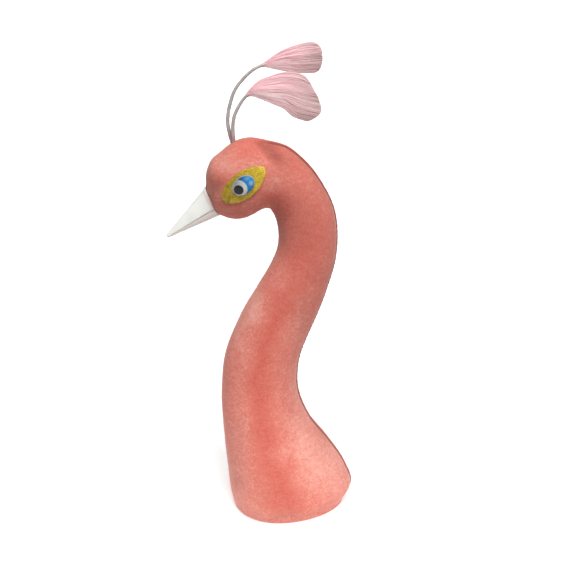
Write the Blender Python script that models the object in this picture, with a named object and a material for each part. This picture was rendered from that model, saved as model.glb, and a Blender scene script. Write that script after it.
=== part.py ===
"""A peacock's head and neck for a table: a foam form covered in coral flock, standing on its cut base.

It carries a white moulded beak, a glitter patch and a domed eye on each cheek, and a crest of two
stripped feathers whose quills are pushed into the crown. Metres, +Z up, origin at the middle of the
underside. The bird faces -X, so its left cheek is at -Y.
"""

import math

import bmesh
import bpy
import numpy as np
from mathutils import Vector
from mathutils.bvhtree import BVHTree

# Driving sizes

FIGURE_HEIGHT = 0.230
BASE_ROUNDING = 0.0025
FACE_BOW = 0.0008
SEAT_GAP = 0.0003

BEAK_LENGTH = 0.0350
BEAK_HEIGHT = 0.0185
BEAK_WIDTH = 0.0149
BEAK_DROP_DEG = 37.1
BEAK_TIP_RADIUS = 0.0014
BEAK_LIP_LENGTH = 0.0020
BEAK_LIP_PROUD = 0.0004
GAPE_LEDGE = 0.0010

PATCH_LENGTH = 0.0304
PATCH_WIDTH = 0.0147
PATCH_THICKNESS = 0.0008
PATCH_TILT_DEG = 37.7
PATCH_FRONT_BLUNTNESS = 0.61
PATCH_BACK_BLUNTNESS = 0.68

EYE_LENGTH = 0.0142
EYE_WIDTH = 0.0100
EYE_RIM_HEIGHT = 0.0007
EYE_DOME_HEIGHT = 0.0031
EYE_TILT_DEG = 36.0

QUILL_DIAMETER = 0.0019
QUILL_NECK_DIAMETER = 0.0014
QUILL_SUNK = 0.007
VANE_THICKNESS = 0.0008
UPPER_FEATHER_REACH = 0.0690
LOWER_FEATHER_REACH = 0.0550

# Facets

AROUND_NECK = 40
ALONG_NECK = 54
ALONG_FEATHER = 32
AROUND_FEATHER = 18
ROUNDING_STEPS = 3

UP = Vector((0.0, 0.0, 1.0))
ACROSS = Vector((0.0, 1.0, 0.0))

# Outline of the figure in hundredths of its height, from the underside up and over to the face.
# Each row: back line x and z, front line x and z, half the thickness across, and how much fuller
# the section is on its front side than on its back one.
FIGURE_ROWS = [
    (14.1, 0.0, -14.6, 0.0, 15.1, 0.18),
    (17.0, 4.6, -15.6, 4.2, 15.7, 0.15),
    (15.3, 10.9, -16.3, 10.6, 15.0, 0.10),
    (10.5, 18.1, -17.1, 18.0, 13.3, 0.06),
    (5.6, 24.7, -17.5, 25.2, 11.6, 0.03),
    (2.7, 31.6, -17.7, 32.7, 10.2, 0.0),
    (2.5, 39.2, -16.8, 41.9, 9.4, 0.0),
    (4.6, 46.4, -12.5, 53.2, 8.8, 0.0),
    (7.2, 52.8, -8.1, 60.7, 8.3, 0.0),
    (9.9, 60.0, -4.5, 67.0, 7.9, 0.0),
    (12.2, 68.6, -2.7, 71.9, 7.6, 0.0),
    (12.6, 75.8, -2.5, 75.5, 7.5, 0.0),
    (11.6, 81.7, -3.0, 78.8, 7.5, 0.0),
    (9.2, 87.2, -4.0, 81.0, 7.5, 0.0),
    (5.3, 93.1, -5.0, 82.0, 7.6, 0.0),
    (0.1, 97.6, -6.6, 81.7, 7.7, 0.0),
    (-4.7, 99.1, -8.9, 80.3, 7.8, 0.0),
    (-9.4, 100.0, -11.3, 79.3, 7.9, 0.0),
    (-13.6, 99.0, -13.8, 79.1, 7.7, 0.0),
    (-17.1, 96.4, -16.0, 79.6, 6.9, 0.0),
    (-20.1, 93.2, -17.9, 80.7, 5.8, 0.0),
    (-20.9, 89.5, -18.5, 81.9, 4.3, 0.0),
    (-20.8, 87.0, -18.9, 83.4, 2.4, 0.0),
]

# Where the applied pieces sit on the figure, in hundredths of its height
BEAK_SEAT = (-19.4, 83.2)
EYE_SEAT = (-11.0, 89.5)
PATCH_SEAT = (-10.9, 89.5)
CREST_SEAT = (-13.9, 99.0)

# The gape divides the beak's height at this share from its underside
GAPE_SHARE = 0.38

# Feathers in hundredths of their reach, x and z from the point where the quill leaves the crown.
# A quill row is a point on its centre. A vane row: upper edge, lower edge, then how far the barb
# ends bow out past the line between those edges, and how far the vane leans towards its own side.
UPPER_QUILL = [
    (-2.3, 8.5), (-3.5, 16.1), (-2.9, 25.6), (-1.0, 33.3), (1.4, 40.8),
    (4.8, 46.9), (9.3, 52.4), (13.6, 56.7), (19.0, 61.0),
]
UPPER_VANE = [
    (26.2, 65.8, 25.5, 62.4, 0.0, 1.6),
    (34.2, 71.2, 33.8, 61.0, 0.0, 2.4),
    (43.4, 76.5, 43.2, 59.2, 0.3, 3.0),
    (52.8, 80.0, 52.8, 57.5, 1.0, 3.6),
    (62.4, 82.3, 62.5, 57.2, 2.8, 4.1),
    (70.1, 82.9, 70.6, 57.8, 5.3, 4.5),
]
LOWER_QUILL = [(-0.6, 9.3), (-0.6, 17.3), (1.1, 27.3), (4.0, 34.3), (7.5, 40.3), (11.0, 45.3)]
LOWER_VANE = [
    (15.8, 54.0, 18.1, 48.1, 0.0, 2.0),
    (26.0, 63.8, 29.6, 45.2, 0.0, 3.4),
    (39.0, 69.2, 43.1, 39.9, 0.6, 4.8),
    (52.6, 73.2, 52.8, 35.9, 3.1, 6.0),
    (65.9, 72.7, 61.9, 27.9, 7.8, 6.9),
    (77.8, 68.1, 78.8, 22.0, 13.2, 7.5),
]
VANE_CAMBER_SHARE = 0.10

# Each feather's name, centre points, vane rows, reach, which way its vane leans across the bird,
# how far down the bow of its end lies (1 is halfway) and how square that bow is (1 is a plain arc)
FEATHERS = [
    ("crest_feather_upper", UPPER_QUILL, UPPER_VANE, UPPER_FEATHER_REACH, 1.0, 0.95, 0.5),
    ("crest_feather_lower", LOWER_QUILL, LOWER_VANE, LOWER_FEATHER_REACH, -1.0, 1.75, 0.66),
]
QUILL_SPACING = QUILL_DIAMETER + SEAT_GAP
QUILL_PAIR_TURN_DEG = 62.0
CREST_LEAN_DEG = 10.0


def clear_scene():
    for obj in list(bpy.data.objects):
        bpy.data.objects.remove(obj)


def finish(name, colour, roughness, metallic=0.0):
    """A Principled material with one colour, given as sRGB hex and stored linear."""
    material = bpy.data.materials.new(name)
    material.use_nodes = True
    channels = [int(colour[i : i + 2], 16) / 255 for i in (1, 3, 5)]
    linear = [c / 12.92 if c <= 0.04045 else ((c + 0.055) / 1.055) ** 2.4 for c in channels]
    shader = material.node_tree.nodes["Principled BSDF"]
    shader.inputs["Base Color"].default_value = (*linear, 1.0)
    shader.inputs["Roughness"].default_value = roughness
    shader.inputs["Metallic"].default_value = metallic
    return material


def place(name, mesh, material, sharp_deg=35.0):
    """Puts a finished mesh in the scene under its own name."""
    mesh.materials.append(material)
    mesh.shade_smooth()
    mesh.set_sharp_from_angle(angle=math.radians(sharp_deg))
    obj = bpy.data.objects.new(name, mesh)
    bpy.context.scene.collection.objects.link(obj)
    return obj


def skin(name, rings, start_pole=None, end_pole=None):
    """One closed mesh through rings of equal count. A pole closes an end in a point, and without
    one that end is closed by a single flat face."""
    shape = bmesh.new()
    loops = [[shape.verts.new(point) for point in ring] for ring in rings]
    count = len(loops[0])
    for here, there in zip(loops, loops[1:]):
        for i in range(count):
            k = (i + 1) % count
            shape.faces.new((here[i], here[k], there[k], there[i]))
    for loop, pole in ((loops[0], start_pole), (loops[-1], end_pole)):
        if pole is None:
            shape.faces.new(loop)
            continue
        tip = shape.verts.new(pole)
        for i in range(count):
            shape.faces.new((loop[i], loop[(i + 1) % count], tip))
    bmesh.ops.recalc_face_normals(shape, faces=shape.faces)
    mesh = bpy.data.meshes.new(name)
    shape.to_mesh(mesh)
    shape.free()
    return mesh


def smooth_rows(rows, count):
    """Rows read off a smooth curve through the given ones, evenly spaced along their middle line."""
    rows = np.array(rows, float)
    middles = (rows[:, 0:2] + rows[:, 2:4]) / 2
    steps = np.linalg.norm(np.diff(middles, axis=0), axis=1)
    at = np.concatenate([[0.0], np.cumsum(steps)])
    slopes = np.gradient(rows, at, axis=0)
    wanted = np.linspace(0.0, at[-1], count)
    spans = np.clip(np.searchsorted(at, wanted, side="right") - 1, 0, len(at) - 2)
    made = []
    for position, span in zip(wanted, spans):
        length = at[span + 1] - at[span]
        t = (position - at[span]) / length
        made.append(
            (2 * t**3 - 3 * t**2 + 1) * rows[span]
            + (t**3 - 2 * t**2 + t) * length * slopes[span]
            + (3 * t**2 - 2 * t**3) * rows[span + 1]
            + (t**3 - t**2) * length * slopes[span + 1]
        )
    return made


def oval_ring(back, front, half_depth, fuller, count):
    """An oval that runs from the front point to the back one and half_depth to each side."""
    centre = (back + front) / 2
    reach = (back - front) / 2
    ring = []
    for i in range(count):
        a = 2 * math.pi * i / count
        side = half_depth * math.sin(a) * (1 - fuller * math.cos(a))
        ring.append(centre + reach * math.cos(a) + ACROSS * side)
    return ring


# The figure

def on_figure(x, z):
    """A point of the middle plane given in hundredths of the figure's height."""
    return Vector((x, 0.0, z)) * FIGURE_HEIGHT / 100


def figure_rings():
    """The cut base's rounded edge, then the neck and head up to the face."""
    rings = []
    rows = smooth_rows(FIGURE_ROWS, ALONG_NECK)
    above = [row for row in rows if min(row[1], row[3]) * FIGURE_HEIGHT / 100 > BASE_ROUNDING]
    foot = above[0]
    for step in range(ROUNDING_STEPS + 1):
        turn = math.pi / 2 * step / ROUNDING_STEPS
        inset = BASE_ROUNDING * (1 - math.sin(turn))
        lift = UP * BASE_ROUNDING * (1 - math.cos(turn))
        back = on_figure(foot[0], 0.0) - Vector((inset, 0.0, 0.0)) + lift
        front = on_figure(foot[2], 0.0) + Vector((inset, 0.0, 0.0)) + lift
        half_depth = foot[4] * FIGURE_HEIGHT / 100 - inset
        rings.append(oval_ring(back, front, half_depth, foot[5], AROUND_NECK))
    for row in above[1:]:
        back = on_figure(row[0], row[1])
        front = on_figure(row[2], row[3])
        half_depth = row[4] * FIGURE_HEIGHT / 100
        rings.append(oval_ring(back, front, half_depth, row[5], AROUND_NECK))
    return rings


def surface_of(mesh):
    """A search tree over a mesh, for finding points on it."""
    points = [vertex.co.copy() for vertex in mesh.vertices]
    faces = [tuple(face.vertices) for face in mesh.polygons]
    return BVHTree.FromPolygons(points, faces)


def hit_from(surface, start, heading):
    """Where a straight line from outside first meets the surface, and the surface's normal there."""
    point, normal, _, _ = surface.ray_cast(start, heading)
    return point, normal


def crest_heading():
    """The way that both quills leave the crown."""
    lean = math.radians(CREST_LEAN_DEG)
    return Vector((-math.sin(lean), 0.0, math.cos(lean)))


def quill_pair_direction():
    """From the upper feather's quill to the lower one's, square to their heading."""
    heading = crest_heading()
    turn = math.radians(QUILL_PAIR_TURN_DEG)
    backward = Vector((heading.z, 0.0, -heading.x))
    return backward * math.cos(turn) - ACROSS * math.sin(turn)


def crest_roots(surface):
    """The points of the crown where the two quills come out, the upper feather's first."""
    heading = crest_heading()
    apart = quill_pair_direction() * QUILL_SPACING
    above = on_figure(*CREST_SEAT) + heading * FIGURE_HEIGHT
    return [hit_from(surface, above + apart * share, -heading)[0] for share in (-0.5, 0.5)]


def socket_cutter(roots):
    """The slot in the crown that both quills stand in: a round-ended hole along their heading."""
    heading = crest_heading()
    apart = quill_pair_direction()
    across = heading.cross(apart)
    radius = QUILL_DIAMETER / 2 + SEAT_GAP
    depth = QUILL_SUNK + SEAT_GAP
    middle = (roots[0] + roots[1]) / 2
    end_steps = 8
    outline = []
    for facing in (1.0, -1.0):
        for i in range(end_steps + 1):
            a = math.pi * i / end_steps - math.pi / 2
            out = apart * (QUILL_SPACING / 2 + radius * math.cos(a)) + across * radius * math.sin(a)
            outline.append(middle + out * facing)
    bottom = [point - heading * depth for point in outline]
    top = [point + heading * depth for point in outline]
    cutter = bpy.data.objects.new("crest_socket_cutter", skin("crest_socket_cutter", [bottom, top]))
    bpy.context.scene.collection.objects.link(cutter)
    cutter.hide_render = True
    cutter.display_type = "WIRE"
    return cutter


def make_figure():
    """The flocked foam form, with the crest's slot cut in its crown."""
    rings = figure_rings()
    face = sum(rings[-1], Vector()) / AROUND_NECK
    bow = (face - sum(rings[-2], Vector()) / AROUND_NECK).normalized() * FACE_BOW
    mesh = skin("head_and_neck", rings, end_pole=face + bow)
    surface = surface_of(mesh)
    figure = place("head_and_neck", mesh, finish("coral_flock", "#d97466", 0.95))
    cut = figure.modifiers.new("crest_socket", "BOOLEAN")
    cut.operation = "DIFFERENCE"
    cut.object = socket_cutter(crest_roots(surface))
    return surface


# The beak

def beak_section():
    """Height and width pairs round the beak where it meets the face: the upper bill's arch, a
    ledge along the gape on each side, and the lower bill set in under it."""
    under = BEAK_HEIGHT * GAPE_SHARE
    top = BEAK_HEIGHT - under
    gape = under - BEAK_HEIGHT / 2
    keel = under - GAPE_LEDGE / 2
    half_width = BEAK_WIDTH / 2
    arch_steps = 12
    keel_steps = 14
    section = []
    for i in range(arch_steps + 1):
        a = math.pi * i / arch_steps
        section.append((gape + top * math.sin(a), half_width * math.cos(a)))
    for i in range(keel_steps + 1):
        a = math.pi * i / keel_steps
        inner = half_width - GAPE_LEDGE
        section.append((gape - GAPE_LEDGE / 2 - keel * math.sin(a), -inner * math.cos(a)))
    return section


def make_beak(surface):
    """A pointed moulding in one piece, lipped where it meets the face, its back shaped to the flock."""
    drop = math.radians(BEAK_DROP_DEG)
    heading = Vector((-math.cos(drop), 0.0, -math.sin(drop)))
    upright = Vector((-math.sin(drop), 0.0, math.cos(drop)))
    seat = hit_from(surface, on_figure(*BEAK_SEAT) + heading * BEAK_LENGTH, -heading)[0]
    body = BEAK_LENGTH - BEAK_TIP_RADIUS
    tip_share = 2 * BEAK_TIP_RADIUS / BEAK_HEIGHT
    lip_swell = 2 * BEAK_LIP_PROUD / BEAK_HEIGHT

    def at(pair, along, swell=0.0):
        share = 1 - (1 - tip_share) * along / body + swell
        return seat + (upright * pair[0] + ACROSS * pair[1]) * share + heading * along

    def against_face(pair, share):
        along = 0.0
        for _ in range(4):
            inside = (pair[0] * share, pair[1] * share)
            start = at(inside, along, lip_swell) + heading * BEAK_LENGTH
            along = (hit_from(surface, start, -heading)[0] - seat).dot(heading) + SEAT_GAP
        return at(inside, along, lip_swell), along

    section = beak_section()
    rings = []
    for share in (0.15, 0.3, 0.45, 0.6, 0.75, 0.86, 0.94, 1.0):
        rings.append([against_face(pair, share)[0] for pair in section])
    edge = [against_face(pair, 1.0)[1] for pair in section]
    rings.append([at(pair, along + BEAK_LIP_LENGTH, lip_swell) for pair, along in zip(section, edge)])
    behind = [along + BEAK_LIP_LENGTH + BEAK_LIP_PROUD for along in edge]
    rings.append([at(pair, along) for pair, along in zip(section, behind)])
    first = max(behind) + BEAK_LIP_LENGTH
    for share in (0.0, 0.25, 0.5, 0.75, 1.0):
        rings.append([at(pair, first + (body - first) * share) for pair in section])
    for turn_deg in (35.0, 65.0):
        turn = math.radians(turn_deg)
        shrunk = [(high * math.cos(turn), wide * math.cos(turn)) for high, wide in section]
        on_tip = seat + heading * (body + BEAK_TIP_RADIUS * math.sin(turn))
        rings.append([on_tip + (upright * high + ACROSS * wide) * tip_share for high, wide in shrunk])
    back_middle = against_face((0.0, 0.0), 0.0)[0]
    mesh = skin("beak", rings, start_pole=back_middle, end_pole=seat + heading * BEAK_LENGTH)
    place("beak", mesh, finish("white_gloss_moulding", "#eceee6", 0.22), sharp_deg=28.0)


# The eye patches and eyes

def on_cheek(surface, side, x, z):
    """The cheek's point at that x and z, and its normal, on the side at side times +Y."""
    start = Vector((x, side * FIGURE_HEIGHT, z))
    return hit_from(surface, start, Vector((0.0, -side, 0.0)))


def turned(along, across, tilt_deg):
    """A point given along and across a long axis, turned up towards the back of the head."""
    tilt = math.radians(tilt_deg)
    x = along * math.cos(tilt) - across * math.sin(tilt)
    z = along * math.sin(tilt) + across * math.cos(tilt)
    return x, z


def patch_outline(count):
    """An almond: blunt towards the beak, pointed towards the nape. The lower a bluntness value, the
    rounder that end."""
    front = PATCH_FRONT_BLUNTNESS
    back = PATCH_BACK_BLUNTNESS
    peak = front / (front + back)
    widest = peak**front * (1 - peak) ** back
    outline = []
    for i in range(count):
        turn = 2 * math.pi * i / count
        t = (1 - math.cos(turn)) / 2
        half = PATCH_WIDTH / 2 * t**front * (1 - t) ** back / widest
        side = 1.0 if turn < math.pi else -1.0
        outline.append(turned(PATCH_LENGTH * (t - 0.5), side * half, PATCH_TILT_DEG))
    return outline


def eye_outline(count):
    """An oval."""
    turns = [2 * math.pi * i / count for i in range(count)]
    return [turned(EYE_LENGTH / 2 * math.cos(a), EYE_WIDTH / 2 * math.sin(a), EYE_TILT_DEG) for a in turns]


def cheek_loops(surface, side, seat, outline, shares):
    """The outline shrunk to each share and laid on the cheek, as (point, normal) pairs."""
    loops = []
    for share in shares:
        loops.append([on_cheek(surface, side, seat.x + share * x, seat.z + share * z) for x, z in outline])
    return loops


def make_patch(surface, side, name):
    """A thin leaf of glitter sheet that follows the cheek."""
    seat = on_figure(*PATCH_SEAT)
    loops = cheek_loops(surface, side, seat, patch_outline(36), (0.25, 0.5, 0.75, 1.0))
    middle, out = on_cheek(surface, side, seat.x, seat.z)
    low = SEAT_GAP
    high = SEAT_GAP + PATCH_THICKNESS
    under = [[p + n * low for p, n in loop] for loop in loops]
    over = [[p + n * high for p, n in loop] for loop in reversed(loops)]
    mesh = skin(name, under + over, start_pole=middle + out * low, end_pole=middle + out * high)
    place(name, mesh, finish(name + "_gold_glitter", "#b3952f", 0.4, 0.4))


def make_eye(surface, side, name):
    """A domed plastic eye whose back follows the patch under it."""
    seat = on_figure(*EYE_SEAT)
    shares = (0.3, 0.6, 0.85, 1.0)
    loops = cheek_loops(surface, side, seat, eye_outline(28), shares)
    middle, out = on_cheek(surface, side, seat.x, seat.z)
    low = PATCH_THICKNESS + 2 * SEAT_GAP
    under = [[p + n * low for p, n in loop] for loop in loops]
    over = []
    for share, loop in reversed(list(zip(shares, loops))):
        rise = EYE_RIM_HEIGHT + (EYE_DOME_HEIGHT - EYE_RIM_HEIGHT) * math.sqrt(1 - share**2)
        over.append([p + n * low + out * rise for p, n in loop])
    top = middle + out * (low + EYE_DOME_HEIGHT)
    mesh = skin(name, under + over, start_pole=middle + out * low, end_pole=top)
    place(name, mesh, finish(name + "_plastic", "#3f7fae", 0.1))


# The crest

def quill_rows(points, reach):
    """Rows along a bare quill, tapering from its root to where the vane begins."""
    centres = [(0.0, 0.0)] + list(points)
    rows = []
    for i, (x, z) in enumerate(centres):
        before = Vector(centres[max(i - 1, 0)])
        after = Vector(centres[min(i + 1, len(centres) - 1)])
        heading = (after - before).normalized()
        share = i / (len(centres) - 1)
        radius = (QUILL_DIAMETER * (1 - share) + QUILL_NECK_DIAMETER * share) / 2
        out = Vector((-heading.y, heading.x)) * radius * 100 / reach
        rows.append((x + out.x, z + out.y, x - out.x, z - out.y, 0.0, 0.0, radius))
    return rows


def feather_rings(points, vane, reach, lean, skew, squareness, root):
    """Round sections up the quill, widening into the flat, bowed vane."""
    rows = quill_rows(points, reach) + [(*row, VANE_THICKNESS / 2) for row in vane]
    rings = []
    for row in smooth_rows(rows, ALONG_FEATHER):
        upper = root + Vector((row[0], 0.0, row[1])) * reach / 100
        lower = root + Vector((row[2], 0.0, row[3])) * reach / 100
        width = (upper - lower).length
        forward = (upper - lower).normalized().cross(ACROSS)
        forward = -forward if forward.x < 0 else forward
        camber = max(width - QUILL_DIAMETER, 0.0) * VANE_CAMBER_SHARE
        ring = []
        for i in range(AROUND_FEATHER):
            turn = 2 * math.pi * i / AROUND_FEATHER
            share = (1 + math.cos(turn)) / 2
            bow = max(math.sin(math.pi * (1 - share) ** skew), 0.0) ** squareness
            bulge = bow * row[4] * reach / 100
            sweep = lean * row[5] * reach / 100 - camber * math.sin(turn) ** 2
            point = lower + (upper - lower) * share + forward * bulge
            ring.append(point + ACROSS * (sweep + row[6] * math.sin(turn)))
        rings.append(ring)
    heading = crest_heading()
    sunk = [point - heading * ((point - root).dot(heading) + QUILL_SUNK) for point in rings[0]]
    return [sunk] + rings


def make_crest(surface):
    """Two stripped feathers side by side in the crown's slot."""
    for feather, root in zip(FEATHERS, crest_roots(surface)):
        name = feather[0]
        mesh = skin(name, feather_rings(*feather[1:], root))
        place(name, mesh, finish(name + "_barbs", "#e3b9bb", 0.6))


clear_scene()
cheeks_and_crown = make_figure()
make_beak(cheeks_and_crown)
for cheek_side, cheek_name in ((-1.0, "left"), (1.0, "right")):
    make_patch(cheeks_and_crown, cheek_side, "eye_patch_" + cheek_name)
    make_eye(cheeks_and_crown, cheek_side, "eye_" + cheek_name)
make_crest(cheeks_and_crown)
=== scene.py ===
"""A peacock's head and neck in coral flock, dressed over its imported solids: flocked cloth, a moulded
beak, glitter leaves, domed eyes and two stripped feathers, on a pale floor."""

import math

import bpy
import numpy as np
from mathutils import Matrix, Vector, noise
from mathutils.bvhtree import BVHTree


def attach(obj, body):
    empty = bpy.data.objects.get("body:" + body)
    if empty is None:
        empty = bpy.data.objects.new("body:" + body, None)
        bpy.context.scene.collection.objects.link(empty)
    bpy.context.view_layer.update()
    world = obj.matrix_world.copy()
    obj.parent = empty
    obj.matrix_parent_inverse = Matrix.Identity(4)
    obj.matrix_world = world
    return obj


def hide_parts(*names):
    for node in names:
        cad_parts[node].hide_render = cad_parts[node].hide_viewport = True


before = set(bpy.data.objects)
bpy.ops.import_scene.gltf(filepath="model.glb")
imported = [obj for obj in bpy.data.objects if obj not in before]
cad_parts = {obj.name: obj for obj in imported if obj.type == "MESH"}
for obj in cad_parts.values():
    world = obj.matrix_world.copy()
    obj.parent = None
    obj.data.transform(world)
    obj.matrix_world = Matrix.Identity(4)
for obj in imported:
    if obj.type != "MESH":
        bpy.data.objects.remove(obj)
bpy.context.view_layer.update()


# The figure
# A carved foam form pulled into a sleeve of coral flocked cloth. The cloth is closed up the back in
# one seam, takes a soft fold where it turns over behind the crown, and is glued under at the base.

FIGURE_HEIGHT = 0.230
BASE_ROUNDING = 0.0025
FACE_BOW = 0.0008
AROUND_CLOTH = 208
ALONG_CLOTH = 420
SEAM_CROWDING = 0.55
UNDER_SHARES = np.linspace(0.04, 0.98, 16)
RIM_STEPS = 8
FACE_STEPS = 8
FACE_QUARTER_STEPS = 8.4

# The same outline as the solid's, in hundredths of the height: back x and z, front x and z, half the
# thickness, and how much fuller the front side is.
FIGURE_ROWS = [
    (14.1, 0.0, -14.6, 0.0, 15.1, 0.18),
    (17.0, 4.6, -15.6, 4.2, 15.7, 0.15),
    (15.3, 10.9, -16.3, 10.6, 15.0, 0.10),
    (10.5, 18.1, -17.1, 18.0, 13.3, 0.06),
    (5.6, 24.7, -17.5, 25.2, 11.6, 0.03),
    (2.7, 31.6, -17.7, 32.7, 10.2, 0.0),
    (2.5, 39.2, -16.8, 41.9, 9.4, 0.0),
    (4.6, 46.4, -12.5, 53.2, 8.8, 0.0),
    (7.2, 52.8, -8.1, 60.7, 8.3, 0.0),
    (9.9, 60.0, -4.5, 67.0, 7.9, 0.0),
    (12.2, 68.6, -2.7, 71.9, 7.6, 0.0),
    (12.6, 75.8, -2.5, 75.5, 7.5, 0.0),
    (11.6, 81.7, -3.0, 78.8, 7.5, 0.0),
    (9.2, 87.2, -4.0, 81.0, 7.5, 0.0),
    (5.3, 93.1, -5.0, 82.0, 7.6, 0.0),
    (0.1, 97.6, -6.6, 81.7, 7.7, 0.0),
    (-4.7, 99.1, -8.9, 80.3, 7.8, 0.0),
    (-9.4, 100.0, -11.3, 79.3, 7.9, 0.0),
    (-13.6, 99.0, -13.8, 79.1, 7.7, 0.0),
    (-17.1, 96.4, -16.0, 79.6, 6.9, 0.0),
    (-20.1, 93.2, -17.9, 80.7, 5.8, 0.0),
    (-20.9, 89.5, -18.5, 81.9, 4.3, 0.0),
    (-20.8, 87.0, -18.9, 83.4, 2.4, 0.0),
]


def on_figure(x, z):
    """A point of the middle plane given in hundredths of the figure's height."""
    return Vector((x, 0.0, z)) * FIGURE_HEIGHT / 100


def smooth_rows(rows, count):
    """Rows read off a smooth curve through the given ones, evenly spaced along their middle line."""
    rows = np.array(rows, float)
    middles = (rows[:, 0:2] + rows[:, 2:4]) / 2
    at = np.concatenate([[0.0], np.cumsum(np.linalg.norm(np.diff(middles, axis=0), axis=1))])
    slopes = np.gradient(rows, at, axis=0)
    made = []
    for position in np.linspace(0.0, at[-1], count):
        span = min(int(np.searchsorted(at, position, side="right")) - 1, len(at) - 2)
        length = at[span + 1] - at[span]
        t = (position - at[span]) / length
        made.append(
            (2 * t**3 - 3 * t**2 + 1) * rows[span]
            + (t**3 - 2 * t**2 + t) * length * slopes[span]
            + (3 * t**2 - 2 * t**3) * rows[span + 1]
            + (t**3 - t**2) * length * slopes[span + 1]
        )
    return made


def cloth_turn(i):
    """The angle of the cloth's i-th point round a section: 0 is the seam, and points crowd near it."""
    share = i / AROUND_CLOTH
    return 2 * math.pi * share - SEAM_CROWDING * math.sin(2 * math.pi * share)


def cloth_ring(back, front, half_depth, fuller):
    """One section of the sleeve from its back and front points, wider by that share to the front."""
    centre = (back + front) / 2
    reach = (back - front) / 2
    ring = []
    for i in range(AROUND_CLOTH):
        a = cloth_turn(i)
        side = half_depth * math.sin(a) * (1 - fuller * math.cos(a))
        ring.append(centre + reach * math.cos(a) + Vector((0.0, side, 0.0)))
    return ring


def cloth_rings():
    """From the middle of the underside, round the rim and up to the face, which closes in a few
    rings short of a whole quarter turn, so a small flat is left in its middle."""
    rows = smooth_rows(FIGURE_ROWS, ALONG_CLOTH)
    above = [row for row in rows if min(row[1], row[3]) * FIGURE_HEIGHT / 100 > BASE_ROUNDING]
    foot = above[0]
    rings = []
    for step in range(RIM_STEPS + 1):
        turn = math.pi / 2 * step / RIM_STEPS
        inset = BASE_ROUNDING * (1 - math.sin(turn))
        lift = Vector((0.0, 0.0, BASE_ROUNDING * (1 - math.cos(turn))))
        back = on_figure(foot[0], 0.0) - Vector((inset, 0.0, 0.0)) + lift
        front = on_figure(foot[2], 0.0) + Vector((inset, 0.0, 0.0)) + lift
        rings.append(cloth_ring(back, front, foot[4] * FIGURE_HEIGHT / 100 - inset, foot[5]))
    middle = sum(rings[0], Vector()) / AROUND_CLOTH
    under = [[middle + (p - middle) * share for p in rings[0]] for share in UNDER_SHARES]
    rings = under + rings
    for row in above[1:]:
        back, front = on_figure(row[0], row[1]), on_figure(row[2], row[3])
        rings.append(cloth_ring(back, front, row[4] * FIGURE_HEIGHT / 100, row[5]))
    last = rings[-1]
    face = sum(last, Vector()) / AROUND_CLOTH
    ahead = (face - sum(rings[-2], Vector()) / AROUND_CLOTH).normalized()
    for step in range(1, FACE_STEPS + 1):
        turn = math.pi / 2 * step / FACE_QUARTER_STEPS
        bow = ahead * FACE_BOW * math.sin(turn)
        rings.append([face + (p - face) * math.cos(turn) + bow for p in last])
    return rings


def tube_faces(ring_count, around):
    """Quads over rings of equal count, and a flat face over each end."""
    faces = []
    for k in range(ring_count - 1):
        for i in range(around):
            j = (i + 1) % around
            faces.append((k * around + i, k * around + j, (k + 1) * around + j, (k + 1) * around + i))
    faces.append(tuple(reversed(range(around))))
    faces.append(tuple(range((ring_count - 1) * around, ring_count * around)))
    return faces


def new_piece(name, points, faces, uvs=None):
    """A smooth-shaded mesh object facing outwards. uvs gives each point's place on its texture."""
    mesh = bpy.data.meshes.new(name)
    mesh.from_pydata([tuple(p) for p in points], [], faces)
    if uvs is not None:
        layer = mesh.uv_layers.new(name="UVMap")
        for face in mesh.polygons:
            spot = [uvs[v] for v in face.vertices]
            wraps = max(s[0] for s in spot) - min(s[0] for s in spot) > 0.5
            for loop, (u, v) in zip(face.loop_indices, spot):
                layer.data[loop].uv = (u + 1.0 if wraps and u < 0.5 else u, v)
    mesh.shade_smooth()
    piece = bpy.data.objects.new(name, mesh)
    bpy.context.scene.collection.objects.link(piece)
    return piece


def fit(piece, node, material):
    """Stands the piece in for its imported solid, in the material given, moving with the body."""
    piece.data.materials.append(material)
    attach(piece, "root")
    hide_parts(node)


def linear(colour):
    """An sRGB hex colour as linear red, green, blue and alpha."""
    channels = [int(colour[i : i + 2], 16) / 255 for i in (1, 3, 5)]
    return (*[c / 12.92 if c <= 0.04045 else ((c + 0.055) / 1.055) ** 2.4 for c in channels], 1.0)


def add_node(tree, kind, inputs=None, **settings):
    """Adds a node, with its settings, and each input either set to a value or linked to a socket."""
    made = tree.nodes.new(kind)
    for name, value in settings.items():
        setattr(made, name, value)
    for name, value in (inputs or {}).items():
        if isinstance(value, bpy.types.NodeSocket):
            tree.links.new(value, made.inputs[name])
        else:
            made.inputs[name].default_value = value
    return made


def new_material(name):
    """An empty material and its node tree, with the output node in place."""
    material = bpy.data.materials.new(name)
    material.use_nodes = True
    material.node_tree.nodes.clear()
    return material, material.node_tree


cloth = cloth_rings()
cloth_points = [p for ring in cloth for p in ring]
cloth_faces = tube_faces(len(cloth), AROUND_CLOTH)
smooth_skin = BVHTree.FromPolygons(cloth_points, cloth_faces)

cloth_lengths = [0.0]
for here, there in zip(cloth, cloth[1:]):
    run = sum(there, Vector()) - sum(here, Vector())
    cloth_lengths.append(cloth_lengths[-1] + run.length / AROUND_CLOTH)
cloth_uvs = []
for along in cloth_lengths:
    height = along / cloth_lengths[-1]
    cloth_uvs += [(cloth_turn(i) / (2 * math.pi), height) for i in range(AROUND_CLOTH)]

figure = new_piece("flocked_head_and_neck", cloth_points, cloth_faces, cloth_uvs)

HEAD_FROM_Z = 0.2

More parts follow.
